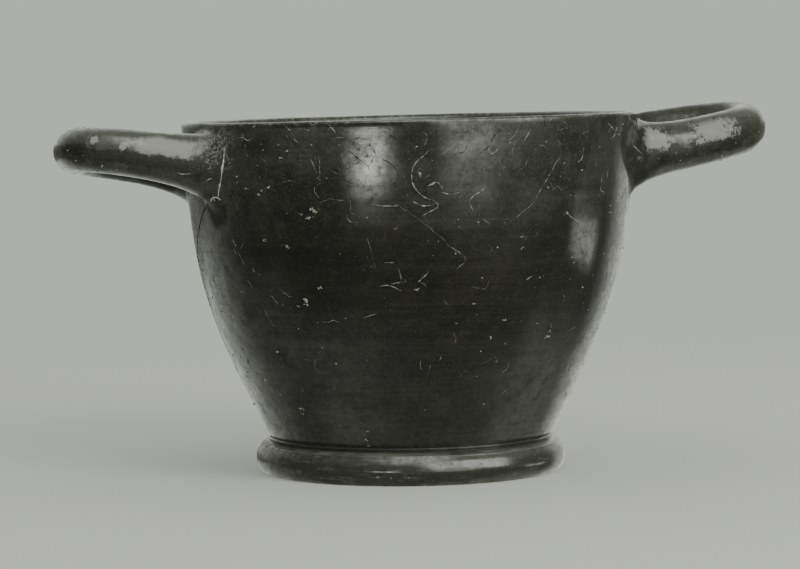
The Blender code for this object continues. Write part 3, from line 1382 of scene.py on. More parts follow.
OLD_SCRATCHES = (
    # dark curved scratches that show where the wall shines
    CRACK, Trace(((-98.2, 49.2), (-93, 45.4), (-85.7, 45), (-79.1, 44.8), (-74, 43.4)), 0.05),
    Trace(((-29, 88.5), (-27, 86.5), (-24.5, 84.5), (-24, 83)), 0.16),
    Trace(((-24, 90), (-22.5, 87.5), (-23.5, 85)), 0.15),
    Trace(((-30, 92), (-28, 90.5), (-26.5, 91.5), (-24, 90.8)), 0.13),
    Trace(((-21, 86), (-18.5, 84.5), (-17, 82), (-18.5, 79.5)), 0.16),
    Trace(((-32, 84), (-31, 81.5), (-28.5, 80)), 0.14),
    Trace(((-20, 92.5), (-17, 91), (-15.5, 88.5)), 0.14),
    Trace(((2, 87), (4.5, 88.5), (6.5, 92), (9.5, 93.5)), 0.14),
    Trace(((6, 84), (8, 82.5), (11, 83), (12.5, 80.5)), 0.14),
)

MEND = (
    # the white mend at the near root of the left handle
    Trace(
        (
            (-65.2, 89.2), (-65.2, 87.5), (-65.3, 85.1), (-65.7, 82.8), (-66, 81.5),
            (-66.4, 80.4), (-67.3, 78.6), (-68.6, 76.2),
        ),
        0.2,
    ),
    Trace(((-65.2, 86.2), (-65.6, 83.6), (-65.9, 81.7)), 0.29),
    Trace(((-66.2, 80.8), (-67.1, 79), (-68.3, 76.8)), 0.2),
    Trace(((-71.6, 75), (-70.2, 75.8), (-69, 75.9), (-68.5, 75.2)), 0.27),
)

MEND_CRUMBS = (
    (-70.4, 75.2, 0.4), (-71.4, 74.8, 0.3), (-68.6, 75.4, 0.35), (-69.4, 76.4, 0.3),
)

CRUMBS = (
    # bearing, height and half size in millimetres
    (-39, 73, 0.75), (-38, 72.5, 0.5), (-40, 71, 0.6), (-42, 72, 0.4), (-51, 78.8, 0.5),
    (-53.3, 77.9, 0.36), (-54.5, 76.9, 0.34), (-58.3, 78.3, 0.25), (-61.8, 79.9, 0.2),
    (-46.8, 86.4, 0.36), (-52.5, 90, 0.2), (-54.3, 84.4, 0.17), (-54, 65, 0.42),
    (-47, 63.5, 0.55), (-39, 53, 0.5), (-44, 49.5, 0.75), (-43.5, 48.5, 0.45), (-46, 48, 0.3),
    (-56, 20, 0.6), (-56.5, 18.5, 0.4), (-64, 23.5, 0.3), (-41, 37, 0.25), (-31, 14.5, 0.3),
    (-32, 12, 0.35), (-31.5, 10.5, 0.3), (-13, 52.5, 0.4), (15, 65.5, 0.35), (15, 62.5, 0.3),
    (28.5, 71, 0.5), (28.5, 38.5, 0.7), (29, 40, 0.4), (12, 44, 0.4), (8.5, 39.5, 0.35),
    (14, 37.5, 0.3), (2.5, 48.5, 0.35), (-2, 43.5, 0.2), (33, 82, 0.35), (22, 78, 0.35),
    (-9, 7.5, 0.4), (-27, 2.6, 0.3), (-22, 2.4, 0.26), (-16, 2.5, 0.26),
)


@dataclass(frozen=True)
class DrawnLines:
    """Fine raised lines that follow the wall, drawn by one pen."""

    name: str
    lines: tuple[Line | Trace, ...]
    strays: int = 0  # short lines drawn anywhere besides
    stray_thickness: Pair = (0.025, 0.07)  # millimetres
    stray_top: float = 96  # millimetres over the table, as are the next heights
    stray_range: float = 78
    stray_crowding: float = 1.9  # how much more of them are near the top
    stray_slope: float = 50  # degrees that they mostly stay within, up or down
    stray_leg: Pair = (0.6, 2.2)  # millimetres
    stray_bend: float = 75  # degrees
    highest: float = 93
    handle_base: float = 70
    handle_span: float = 26  # degrees each way
    seed: int = 11
    breaks: float = 1.0  # how much the pen skips
    spacing: float = 0.34 * MM
    wobble: float = 0.4 * MM
    wobbles_per_metre: float = 520.0
    breaks_per_metre: float = 800.0
    sides: int = 6
    thin_end: float = 0.25  # thickness of the ends, as a share of the middle's

    def stray_lines(self) -> list[Line | Trace]:
        """Draws short curled lines at random places, more of them high on the wall.

        Returns:
            The lines.
        """
        draw = np.random.default_rng(self.seed)
        found = []
        for _ in range(self.strays):
            bearing = draw.uniform(-180, 180)
            height = self.stray_top - self.stray_range * draw.uniform() ** self.stray_crowding
            heading, legs = draw.normal(0, self.stray_slope) + draw.choice((0, 180)), []
            for _ in range(draw.integers(1, 5)):
                legs.append((heading, draw.uniform(*self.stray_leg)))
                heading += draw.uniform(-self.stray_bend, self.stray_bend)
            if height > self.handle_base and abs(abs(bearing) - 90) < self.handle_span:
                continue  # a handle is there
            height = min(height, self.highest)
            found.append(Line(bearing, height, tuple(legs), draw.uniform(*self.stray_thickness)))
        return found

    def build(self, wall: Wall, cup: Object) -> Object:
        """Draws the lines as fine tubes half sunk in the wall.

        Args:
            wall: Where the lines are.
            cup: The cup they lie on.

        Returns:
            The object.
        """
        lines = [*self.lines, *self.stray_lines()]
        runs = [line.points(wall) for line in lines]
        starts = np.cumsum([len(run) for run in runs]).tolist()
        thick = [np.full(len(run), line.thickness * MM) for run, line in zip(runs, lines)]
        made = polyline(self.name, np.vstack(runs), {"thick": np.concatenate(thick)}, starts)
        pen = ShapeTree("root_pen")
        spacing, wobble, wobbles, sides, breaks = pen.sizes(
            self, "spacing", "wobble", "wobbles_per_metre", "sides", "breaks"
        )
        curve = pen.add("GeometryNodeMeshToCurve", None, {0: pen.geometry})
        curve = pen.add("GeometryNodeCurveSplineType", {"spline_type": "CATMULL_ROM"}, {0: curve})
        sockets = {"Curve": curve, "Length": spacing}
        curve = pen.add("GeometryNodeResampleCurve", {"mode": "LENGTH"}, sockets)
        shake = pen.noise(pen.here(), wobbles, 3.0, 0.6).other(1)
        offset = pen.scaled(pen.vectors("SUBTRACT", shake, (0.5, 0.5, 0.5)), wobble * 2)
        laid = pen.laid_on(pen.moved(curve, Offset=offset), cup)
        taper = pen.maths("SINE", pen.add("GeometryNodeSplineParameter") * math.pi) ** 0.6
        uneven = pen.noise(pen.here(), self.breaks_per_metre, 3.0)
        uneven = pen.eased(uneven, 0.4, 0.62, -0.85, 0.45) * breaks + 1.0
        scale = pen.kept("thick") * (self.thin_end + taper * (1 - self.thin_end)) * uneven
        sockets = {"Resolution": sides, "Radius": 1.0}
        section = pen.add("GeometryNodeCurvePrimitiveCircle", None, sockets)
        sockets = {"Curve": laid, "Profile Curve": section, "Scale": scale, "Fill Caps": True}
        pen.run(made, pen.add("GeometryNodeCurveToMesh", None, sockets))
        tidied(made.data, 1e-7)
        made.data.shade_smooth()
        return made


@dataclass(frozen=True)
class Crumbs:
    """Grains stuck to the cup, some at known places and the rest sown over it."""

    name: str
    known: tuple[tuple[float, float, float], ...]
    density: float = 0.0  # sown grains for each square metre
    seed: int = 4
    smallest: float = 0.06 * MM
    largest: float = 0.34 * MM
    rarity: float = 3.5  # how much rarer large grains are
    shapes: tuple[tuple, tuple] = ((0.45, 0.6, 0.8), (1.0, 1.2, 1.5))
    pieces: int = 7  # that a known crumb is broken into
    spread: tuple[tuple, tuple] = ((-1.4, -1.4, -0.6), (1.4, 1.4, 0.6))  # of those pieces
    share: Pair = (0.15, 0.5)  # of the crumb's size that each has
    over_table: float = 1.3 * MM  # no grain is sown lower than this
    from_back: float = 0.5 * MM  # or nearer to the back of the cup's box
    from_left: float = 1.2 * MM  # or to its left end

    def build(self, wall: Wall, cup: Object) -> Object:
        """Sticks the grains on, each a small rough pebble.

        Args:
            wall: Where the known grains are.
            cup: The cup they stick to.

        Returns:
            The object.
        """
        places = np.array([wall.place(bearing, height) for bearing, height, _ in self.known])
        grain = np.array([size for *_, size in self.known]) * MM
        made = polyline(self.name, places, {"grain": grain}, range(len(places)))
        sieve = ShapeTree("crumb_sieve")
        seed = sieve.size("seed", self.seed)
        crumbs = sieve.gathered(self.crumbled(sieve), self.sown(sieve, wall, seed))
        pebble = sieve.add("GeometryNodeMeshIcoSphere", None, {"Radius": 1.0, "Subdivisions": 1})
        shape = sieve.chance(seed + 2, *self.shapes)
        sockets = {
            "Points": sieve.laid_on(crumbs, cup),
            "Instance": pebble,
            "Rotation": sieve.chance(seed + 1, (0.0,) * 3, (WHOLE_TURN,) * 3),
            "Scale": sieve.scaled(shape, sieve.kept("grain")),
        }
        sieve.run(made, sieve.add("GeometryNodeInstanceOnPoints", None, sockets))
        return made

    def sown(self, sieve: ShapeTree, wall: Wall, seed: Signal) -> Signal:
        """Sows grains over the cup, thicker in places and towards the lip.

        Args:
            sieve: The tree it is in.
            wall: Where they are sown.
            seed: Which draw of them it is.

        Returns:
            The points of the grains.
        """
        density, smallest, largest = sieve.sizes(self, "density", "smallest", "largest")
        place = sieve.here()
        x, y, z = sieve.split(place)
        radial = sieve.joined(x - AXIS_X, y, 0.0)
        normal = sieve.add("GeometryNodeInputNormal")
        outward = sieve.vectors("DOT_PRODUCT", normal, radial, out=1)
        for value, way, limit in (
            (outward, "GREATER_THAN", 0.0),
            (z, "GREATER_THAN", self.over_table),
            (y, "LESS_THAN", CAD_HIGH[1] - self.from_back),
            (x, "GREATER_THAN", CAD_LOW[0] + self.from_left),
        ):
            density = density * sieve.maths(way, value, limit)
        density = density * sieve.eased(sieve.noise(place, 45.0, 3.0), 0.42, 0.62, 0.15, 1.0)
        density = density * sieve.eased(z, 30 * MM, 80 * MM, 0.4, 1.0)
        sockets = {
            "Mesh": sieve.surface("ground", wall.ground), "Density": density, "Seed": seed
        }
        sown = sieve.add("GeometryNodeDistributePointsOnFaces", None, sockets)
        share = sieve.chance(seed, 0.0, 1.0) ** self.rarity
        return sieve.keeping(sown, "grain", smallest + (largest - smallest) * share)

    def crumbled(self, sieve: ShapeTree) -> Signal:
        """Breaks each known grain into a few smaller ones that lie together.

        Args:
            sieve: The tree it is in.

        Returns:
            The points of the smaller grains.
        """
        known = sieve.add("GeometryNodeMeshToPoints", None, {0: sieve.geometry})
        sockets = {0: known, "Amount": sieve.size("pieces of a crumb", self.pieces)}
        broken = sieve.add("GeometryNodeDuplicateElements", {"domain": "POINT"}, sockets)
        grain = sieve.kept("grain")
        apart = sieve.chance(31, *self.spread)
        moved = sieve.moved(broken, Offset=sieve.scaled(apart, grain))
        return sieve.keeping(moved, "grain", grain * sieve.chance(37, *self.share))


@dataclass(frozen=True)
class Chip:
    """A small flake gone from an edge."""

    bearing: float
    height: float  # millimetres
    out: float  # millimetres from the axis
    size: float  # millimetres, half its width


CHIPS = (
    Chip(-38, 95.6, 61.9, 0.8), Chip(21, 95.5, 61.9, 0.6), Chip(57, 95.7, 61.8, 0.9),
    Chip(130, 94, 62.2, 1), Chip(-150, 94.2, 62.2, 0.8), Chip(-9, 0.5, 41, 0.8),
    Chip(-24, 0.4, 40.6, 0.7), Chip(14, 0.5, 40.8, 0.5), Chip(-118, 0.6, 41, 1.1),
    Chip(96, 0.5, 40.9, 0.9), Chip(160, 0.6, 41, 0.7),
)


@dataclass(frozen=True)
class Damage:
    """The crack and the chips, cut into the finished cup."""

    wall: Wall
    throwing: Throwing
    clay: Material
    dirt: Material
    width: float = 0.44 * MM
    depth: float = 0.7 * MM
    proud: float = 0.3 * MM
    waver: float = 0.22 * MM
    spacing: float = 0.9 * MM
    flatness: float = 0.55  # height of a chip, as a share of its width
    sharp_angle: float = math.radians(42)
    seed: int = 23

    def cut(self, cup: Object) -> None:
        """Cuts the crack and the chips into the cup.

        Args:
            cup: The finished cup.
        """
        crack, rest = bmesh.new(), bmesh.new()
        self.wedge(crack, CRACK)
        self.flakes(rest)
        for tool, inside in ((crack, self.dirt), (rest, self.clay)):
            bmesh.ops.recalc_face_normals(tool, faces=tool.faces)
            mesh = bpy.data.meshes.new("damage")
            tool.to_mesh(mesh)
            tool.free()
            mesh.materials.append(inside)
            cutter = link("damage", mesh)
            cut_or_joined(cup, cutter, operation="DIFFERENCE", material_mode="TRANSFER")
        tidied(cup.data, 2e-6)
        cup.data.shade_smooth()
        cup.data.set_sharp_from_angle(angle=self.sharp_angle)

    def flakes(self, tool: bmesh.types.BMesh) -> None:
        """Adds the chips of the edges.

        Args:
            tool: What is cut with.
        """
        draw = np.random.default_rng(self.seed)
        for chip in CHIPS:
            turn, out = math.radians(chip.bearing), chip.out * MM
            place = (out * math.sin(turn), -out * math.cos(turn), chip.height * MM)
            middle = Vector(self.throwing.place(np.array([place]))[0])
            made = bmesh.ops.create_icosphere(tool, subdivisions=2, radius=1.0)
            for corner in made["verts"]:
                rough = chip.size * MM * draw.uniform(0.75, 1.15)
                flat = Vector((corner.co.x, corner.co.y, corner.co.z * self.flatness))
                corner.co = middle + flat * rough

    def wedge(self, tool: bmesh.types.BMesh, line: Trace) -> None:
        """Adds a thin wedge along a line of the wall.

        Args:
            tool: What is cut with.
            line: The line it follows.
        """
        draw = np.random.default_rng(self.seed)
        points = evenly(line.points(self.wall), self.spacing)
        count = len(points)
        along = np.gradient(points, axis=0)
        along /= np.linalg.norm(along, axis=1)[:, None]
        out = points - (AXIS_X, 0.0, 0.0)
        out[:, 2] = 0.0
        out /= np.linalg.norm(out, axis=1)[:, None]
        side = np.cross(along, out)
        sway = np.convolve(draw.normal(size=count + 4), np.ones(5) / 5, "valid")
        points = points + side * (sway * self.waver)[:, None]
        taper = np.clip(np.minimum(np.arange(count), np.arange(count)[::-1]) / 4, 0.15, 1)
        half = self.width / 2 * taper * draw.uniform(0.75, 1.2, count)
        half = side * (half * ((self.proud + self.depth) / self.depth))[:, None]
        above = points + out * self.proud
        root = points - out * (self.depth * (0.4 + 0.6 * taper))[:, None]
        corners = zip(above + half, above - half, root)
        rows = [[tool.verts.new(corner) for corner in three] for three in corners]
        for here, ahead in zip(rows, rows[1:]):
            for one, other in ((0, 1), (1, 2), (2, 0)):
                tool.faces.new((here[one], here[other], ahead[other], ahead[one]))
        tool.faces.new(rows[0])
        tool.faces.new(rows[-1])


# ------------------------------------------------------------------ finishes


def new_finish(name: str) -> tuple[Material, Sheet]:
    """A new material with an empty sheet.

    Args:
        name: Its name.

    Returns:
        The material and its sheet.
    """
    made = bpy.data.materials.new(name)
    made.use_nodes = True
    return made, Sheet(made.node_tree)


@dataclass(frozen=True)
class WearAndSheenPlace:
    """A place on a handle painted pale: partly where fingers and the soil have taken the gloss
    off, partly a painted highlight.
    """

    centre: tuple[float, float, float]  # millimetres
    reach: float  # millimetres
    amount: float
    mottling: float  # 0 for one patch, more for scattered flecks
    keeps_to_handle: bool = True


class Surface:
    """The places on the cup and the noises that its finish is worked out from."""

    def __init__(self, sheet: Sheet, throwing: Throwing) -> None:
        """Lays out the places and noises.

        Args:
            sheet: The sheet of the finish.
            throwing: How the cup was thrown.
        """
        self.sheet = sheet
        self.place = place = sheet.add("ShaderNodeTexCoord", out="Object")
        self.x, y, z = sheet.split(place)
        across = self.x - AXIS_X
        along = across * math.cos(throwing.lean_angle) + y * math.sin(throwing.lean_angle)
        self.level = z / (along * (throwing.mouth_rise / throwing.full_height) + 1)
        self.out = sheet.vectors("LENGTH", sheet.joined(across, y, 0.0), out=1)
        normal = sheet.add("ShaderNodeNewGeometry", out="Normal")
        _, facing_front, self.facing_up = sheet.split(normal)
        self.towards_front = y * facing_front
        self.rings = sheet.streaks(place, 12.0, 420.0, 4.0, 0.65)
        self.streaks = sheet.streaks(place, 45.0, 1500.0, 3.0, 0.6)
        self.smears = sheet.streaks(place, 110.0, 900.0, 4.0, 0.65)
        self.broad = sheet.noise(place, 26.0, 4.0, 0.6)
        self.cloud = sheet.noise(place, 150.0, 4.0, 0.6)
        self.ragged = sheet.noise(place, 620.0, 5.0, 0.8)
        self.fine = sheet.noise(place, 1600.0, 3.0, 0.6)

    def band(self, value: Signal, edges: Pair, start: float = 0.0, end: float = 1.0) -> Signal:
        """Eases from start to end between two edges given in millimetres."""
        return self.sheet.eased(value, edges[0] * MM, edges[1] * MM, start, end)

    def specks(self, scale: float, size: float) -> Signal:
        """Small specks of dust.

        Args:
            scale: How many there could be along a metre.
            size: Largest half width, as a share of their distance.

        Returns:
            1 on a speck and 0 beside it.
        """
        sockets = {"Vector": self.place, "Scale": scale}
        cell = self.sheet.add("ShaderNodeTexVoronoi", None, sockets)
        chance, share, _ = self.sheet.split(cell.other("Color"))
        reach = (0.35 + share * share * 0.65) * size
        return self.sheet.eased(chance, 0.72, 0.8) * self.sheet.eased(cell / reach, 1.0, 0.7)


@dataclass(frozen=True)
class BlackGloss:
    """The thin black gloss of the cup, with its wheel marks, scratches, wear and dust, and
    painted highlight and reflection on the handles, lip, shoulder, foot and lower wall.
    """

    name: str = "black_gloss"
    black: Colour = (0.0122, 0.0130, 0.0092, 1.0)
    brown: Colour = (0.0205, 0.0175, 0.0105, 1.0)
    # colour of the dirt film, which also carries the painted reflection low on the wall, on the
    # foot and on the handles' tops
    dirt_film_and_sheen: Colour = (0.040, 0.042, 0.031, 1.0)
    dust: Colour = (0.27, 0.272, 0.245, 1.0)
    # pale of worn gloss, also the painted highlight on the handles, the lip and the shoulder
    wear_and_sheen: Colour = (0.30, 0.302, 0.275, 1.0)
    clay: Colour = (0.36, 0.25, 0.16, 1.0)
    body_roughness: float = 0.45
    coat_roughness: float = 0.12
    coat: float = 0.7
    index: float = 1.52
    shine: float = 0.07  # of the body under the coat
    handle_band: Pair = (62.4, 66.0)  # millimetres from the axis where the handles start
    foot_band: Pair = (10.2, 8.8)  # heights in millimetres, from where there's none to all
    # heights over which the wall grows lighter towards the foot, partly dust and partly painted
    # reflection of the floor
    low_band: Pair = (42.0, 10.0)
    high_band: Pair = (60.0, 84.0)
    lip_band: Pair = (94.8, 95.6)
    rest_band: Pair = (0.2, 0.05)
    shoulder: float = 8.15
    shoulder_band: Pair = (0.55, 0.2)  # millimetres over and under the shoulder
    inner_band: Pair = (0.0, -6.0)
    soot_band: Pair = (-8.0, -26.0)  # millimetres along X where the foot shines less
    # pale patches on the handles, partly worn gloss and partly painted highlight; the first is
    # the highlight on the left handle
    wear_and_sheen_places: tuple[WearAndSheenPlace, ...] = (
        WearAndSheenPlace((-74.0, -22.5, 88.4), 9.5, 1.0, 0.2),
        WearAndSheenPlace((-62.0, -25.0, 89.6), 6.8, 0.42, 1.5, False),
        WearAndSheenPlace((-86.0, -17.0, 91.0), 9.0, 0.16, 1.6),
        WearAndSheenPlace((-91.1, -15.3, 91.3), 1.6, 1.0, 0.9),
        WearAndSheenPlace((-84.1, -19.7, 89.7), 1.5, 1.0, 0.9),
        WearAndSheenPlace((60.5, -22.5, 88.6), 5.8, 0.9, 1.3),
        WearAndSheenPlace((79.0, -18.4, 91.4), 9.0, 0.85, 1.2),
    )
    soiled_places: tuple[tuple[float, ...], ...] = (  # x, y, z and reach in millimetres
        (-60.0, -18.5, 73.0, 7.0),
        (-62.0, -24.3, 83.4, 4.0),
        (53.7, -24.0, 79.0, 7.0),
    )
    throwing: Throwing = field(default_factory=Throwing)

    def wear_and_sheen_of_handles(self, at: Surface, handle: Signal, inner: Signal) -> Signal:
        """Where the handles are painted pale: partly gloss worn through, partly painted
        highlight.

        Args:
            at: The surface.
            handle: 1 on the handles.
            inner: 1 on their inside.

        Returns:
            How much pale wear and painted highlight it gets.
        """
        sheet, up = at.sheet, at.facing_up
        # only the upper faces of the handles take it, where the painted highlight falls
        over = sheet.eased(up + (at.ragged - 0.5) * 0.6, 0.0, 0.14)
        over = over * sheet.eased(up + (at.cloud - 0.5) * 0.6, 0.85, 0.55) * (1 - inner)
        wear_and_sheen = 0.0
        for spot in self.wear_and_sheen_places:
            apart, reach = sheet.apart(at.place, spot.centre), spot.reach * MM
            near = sheet.stirred(
                sheet.eased(apart, reach * 1.25, reach * 0.2),
                (at.cloud, 0.9),
                (at.ragged, 0.6 + spot.mottling * 2.4),
            )
            patch = sheet.eased(near, 0.34, 0.66, 0.0, spot.amount)
            patch = patch * sheet.eased(apart, reach * 1.3, reach * 0.9)
            kept = handle * over if spot.keeps_to_handle else sheet.eased(at.fine, 0.42, 0.58)
            wear_and_sheen = sheet.most(patch * kept, wear_and_sheen)
        return wear_and_sheen

    def make(self) -> Material:
        """The finish as a material.

        Returns:
            The material.
        """
        made, sheet = new_finish(self.name)
        at = Surface(sheet, self.throwing)
        level, broad, cloud, ragged, fine = at.level, at.broad, at.cloud, at.ragged, at.fine
        handle = at.band(at.out, self.handle_band)
        foot = at.band(level, self.foot_band)
        low = at.band(level, self.low_band)
        high = at.band(level, self.high_band)
        eaten = sheet.eased(sheet.noise(at.place, 270.0, 6.0, 0.75, 0.4), 0.5, 0.6)
        specks = sheet.most(at.specks(400.0, 0.09), at.specks(950.0, 0.11))

        # wear of the handles, the lip, the foot and the shoulder over it; on the handles, the lip
        # and the shoulder the pale is partly painted highlight
        inner = handle * at.band(at.towards_front, self.inner_band)
        upper = sheet.eased(at.facing_up, -0.1, 0.35) * (1 - inner)
        lip = at.band(level, self.lip_band) * (1 - handle)
        # the lip's edge painted pale: partly wear, partly a painted highlight along the rim
        lip_wear_and_sheen = sheet.eased(ragged + (broad - 0.5) * 0.4, 0.5, 0.6) * lip
        on_foot = sheet.eased(at.smears + (ragged - 0.5) * 0.5, 0.52, 0.74) * foot
        # a pale line painted on the foot's upward-facing shoulder: partly dust, partly a painted
        # highlight
        shoulder = at.band(abs(level - self.shoulder * MM), self.shoulder_band)
        shoulder_dust_and_sheen = shoulder * sheet.eased(at.smears, 0.3, 0.6)
        on_handle = self.wear_and_sheen_of_handles(at, handle, inner)
        wear_and_sheen = sheet.most(on_handle, lip_wear_and_sheen * 0.35, on_foot * 0.22, shoulder_dust_and_sheen * 0.3)
        bare = at.band(level, self.rest_band) * sheet.eased(ragged, 0.36, 0.46)
        soiled = 0.0
        for *centre, reach in self.soiled_places:
            near = at.band(sheet.apart(at.place, centre), (reach, reach * 0.4))
            soiled = sheet.most(near, soiled)

        # the film of dirt, with painted reflection lightening the lower wall towards the foot,
        # the foot and the tops of the handles
        dirt_film_and_sheen = sheet.eased(at.rings, 0.42, 0.8) * 0.35 + sheet.eased(broad, 0.45, 0.72) * 0.3
        # low lightens the lower wall towards the foot, partly dust and partly painted reflection
        # of the floor; foot and handle * upper lighten the foot and the handles' tops, partly
        # dust and partly painted sheen
        dirt_film_and_sheen = dirt_film_and_sheen + sheet.eased(at.streaks, 0.5, 0.8) * 0.25 + low * 0.36 + high * 0.18
        dirt_film_and_sheen = dirt_film_and_sheen + foot * 0.6 + handle * upper * 0.4 + eaten * (0.12 + high * 0.22)
        dirt_film_and_sheen = dirt_film_and_sheen + sheet.eased(broad + (cloud - 0.5) * 0.8, 0.46, 0.6) * high * 0.5
        powder = sheet.eased(fine, 0.46, 0.72) * (0.035 + high * 0.05 + eaten * 0.03)
        layers = (
            (sheet.eased(cloud, 0.45, 0.75) * 0.8, self.brown),
            (dirt_film_and_sheen * (0.1 + ragged * 1.7), self.dirt_film_and_sheen),
            (powder, self.dust),
            # pale wear and painted highlight
            (wear_and_sheen, self.wear_and_sheen),
            (specks * 0.85, self.dust),
            (bare, self.clay),
        )
        colour = self.black
        for share, over in layers:
            colour = sheet.blend(share, colour, over)

        matt = sheet.most(wear_and_sheen, sheet.most(specks, bare))
        noises = ((at.rings, 0.16), (at.streaks, 0.14), (cloud, 0.14), (fine, 0.16))
        rough = sheet.stirred(self.body_roughness, *noises)
        noises = ((cloud, 1.3), (ragged, 1.7), (at.streaks, 0.4), (broad, 0.5))
        coat = sheet.stirred(self.coat, *noises) - inner * 0.75 - soiled * 1.1 - eaten * 0.2
        coat = coat - handle * sheet.eased(abs(at.facing_up + 0.1), 0.45, 0.18, 0.0, 0.85)
        coat = coat - foot * at.band(at.x, self.soot_band, 0.02, 0.3)
        lumps = specks * 0.03 + at.rings * 0.03 + cloud * 0.1 + ragged * 0.016
        lumps = lumps + at.streaks * 0.004 + fine * 0.005  # all in millimetres
        sheet.shaded(
            lumps * MM,
            {
                "Base Color": colour,
                "Roughness": rough + matt * 0.2 - handle * 0.05 - foot * 0.08,
                "IOR": self.index,
                "Specular IOR Level": self.shine,
                "Coat Weight": sheet.most(coat - matt * 0.7, 0.0),
                "Coat Roughness": self.coat_roughness,
            },
        )
        return made


@dataclass(frozen=True)
class Crust:
    """A matt chalky or clayey finish: root marks, crumbs, plaster and bare clay."""

    name: str
    pale: Colour
    dark: Colour
    grain: float = 1400.0  # grains in a metre
    relief: float = 0.03 * MM
    roughness: float = 0.82
    index: float = 1.4

    def make(self) -> Material:
        """The finish as a material.

        Returns:
            The material.
        """
        made, sheet = new_finish(self.name)
        place = sheet.add("ShaderNodeTexCoord", out="Object")
        patch = sheet.noise(place, self.grain * 0.2, 4.0, 0.65)
        grain = sheet.noise(place, self.grain, 4.0, 0.7)
        share = sheet.eased(patch * 0.6 + grain * 0.4, 0.36, 0.62)
        sockets = {
            "Base Color": sheet.blend(share, self.dark, self.pale),
            "Roughness": sheet.stirred(self.roughness, (grain, 0.25)),
            "IOR": self.index,
        }
        sheet.shaded(grain * self.relief, sockets)
        return made


ROOT_CHALK = Crust("root_chalk", (0.36, 0.362, 0.33, 1.0), (0.10, 0.10, 0.088, 1.0))
CRUMB_EARTH = Crust("crumb_earth", (0.42, 0.422, 0.385, 1.0), (0.17, 0.168, 0.145, 1.0))
MEND_PLASTER = Crust(
    "mend_plaster", (0.62, 0.625, 0.58, 1.0), (0.34, 0.338, 0.30, 1.0), 900.0, 0.05 * MM
)
BARE_CLAY = Crust("broken_clay", (0.26, 0.21, 0.15, 1.0), (0.11, 0.085, 0.06, 1.0), 1100.0)
OLD_DIRT = Crust("old_dirt", (0.016, 0.014, 0.010, 1.0), (0.006, 0.0055, 0.0045, 1.0))
CRACK_DIRT = Crust("crack_dirt", (0.012, 0.010, 0.007, 1.0), (0.004, 0.0035, 0.003, 1.0))


# ------------------------------------------------------------------ studio


LIGHT_TINT = (0.955, 1.0, 0.90, 1.0)


def towards(bearing: float, lift: float) -> Vector:
    """The direction at a bearing from the front and a lift over the table, in radians."""
    level = math.cos(lift)
    return Vector((math.sin(bearing) * level, -math.cos(bearing) * level, math.sin(lift)))


@dataclass(frozen=True)
class Card:
    """A glowing card that shows only in the gloss of the cup."""

    name: str
    azimuth: float  # degrees round from the camera's side towards the right
    elevation: float
    width: float  # degrees it spans
    height: float
    strength: float
    softness: float = 0.5  # share of its half size over which its edges fade
    falloff: float = 1.0
    distance: float = 0.9

    def hang(self, centre: Vector, swing: float) -> None:
        """Hangs the card, facing the cup.

        Args:
            centre: Point it faces.
            swing: Angle of the camera round the cup.
        """
        half_width = self.distance * math.tan(math.radians(self.width / 2))
        half_height = self.distance * math.tan(math.radians(self.height / 2))
        bearing = math.radians(self.azimuth) - swing
        out = towards(bearing, math.radians(self.elevation))
        across = Vector((math.cos(bearing), math.sin(bearing), 0.0))
        middle, up = centre + out * self.distance, out.cross(across)
        corners = [(-1, -1), (1, -1), (1, 1), (-1, 1)]
        places = [middle + across * half_width * u + up * half_height * v for u, v in corners]
        made = four_sided(self.name, places)
        layer = made.data.uv_layers.new(name="card")
        for loop, corner in zip(layer.data, corners):
            loop.uv = corner
        made.data.materials.append(self.glow())
        made.visible_camera = made.visible_diffuse = made.visible_shadow = False
        made.visible_transmission = made.visible_volume_scatter = False

    def glow(self) -> Material:
        """The card's light, fading at its edges.

        Returns:
            The material.
        """
        made, sheet = new_finish(self.name)
        u, v, _ = sheet.split(sheet.add("ShaderNodeUVMap", {"uv_map": "card"}))
        inner = 1 - self.softness
        share = sheet.eased(abs(u), 1.0, inner) * sheet.eased(abs(v), 1.0, inner)
        light = sheet.light("Emission", LIGHT_TINT, self.strength)
        clear = sheet.add("ShaderNodeBsdfTransparent")
        mixed = sheet.mixed(share**self.falloff, clear, light)
        sheet.add("ShaderNodeOutputMaterial", None, {0: mixed})
        return made


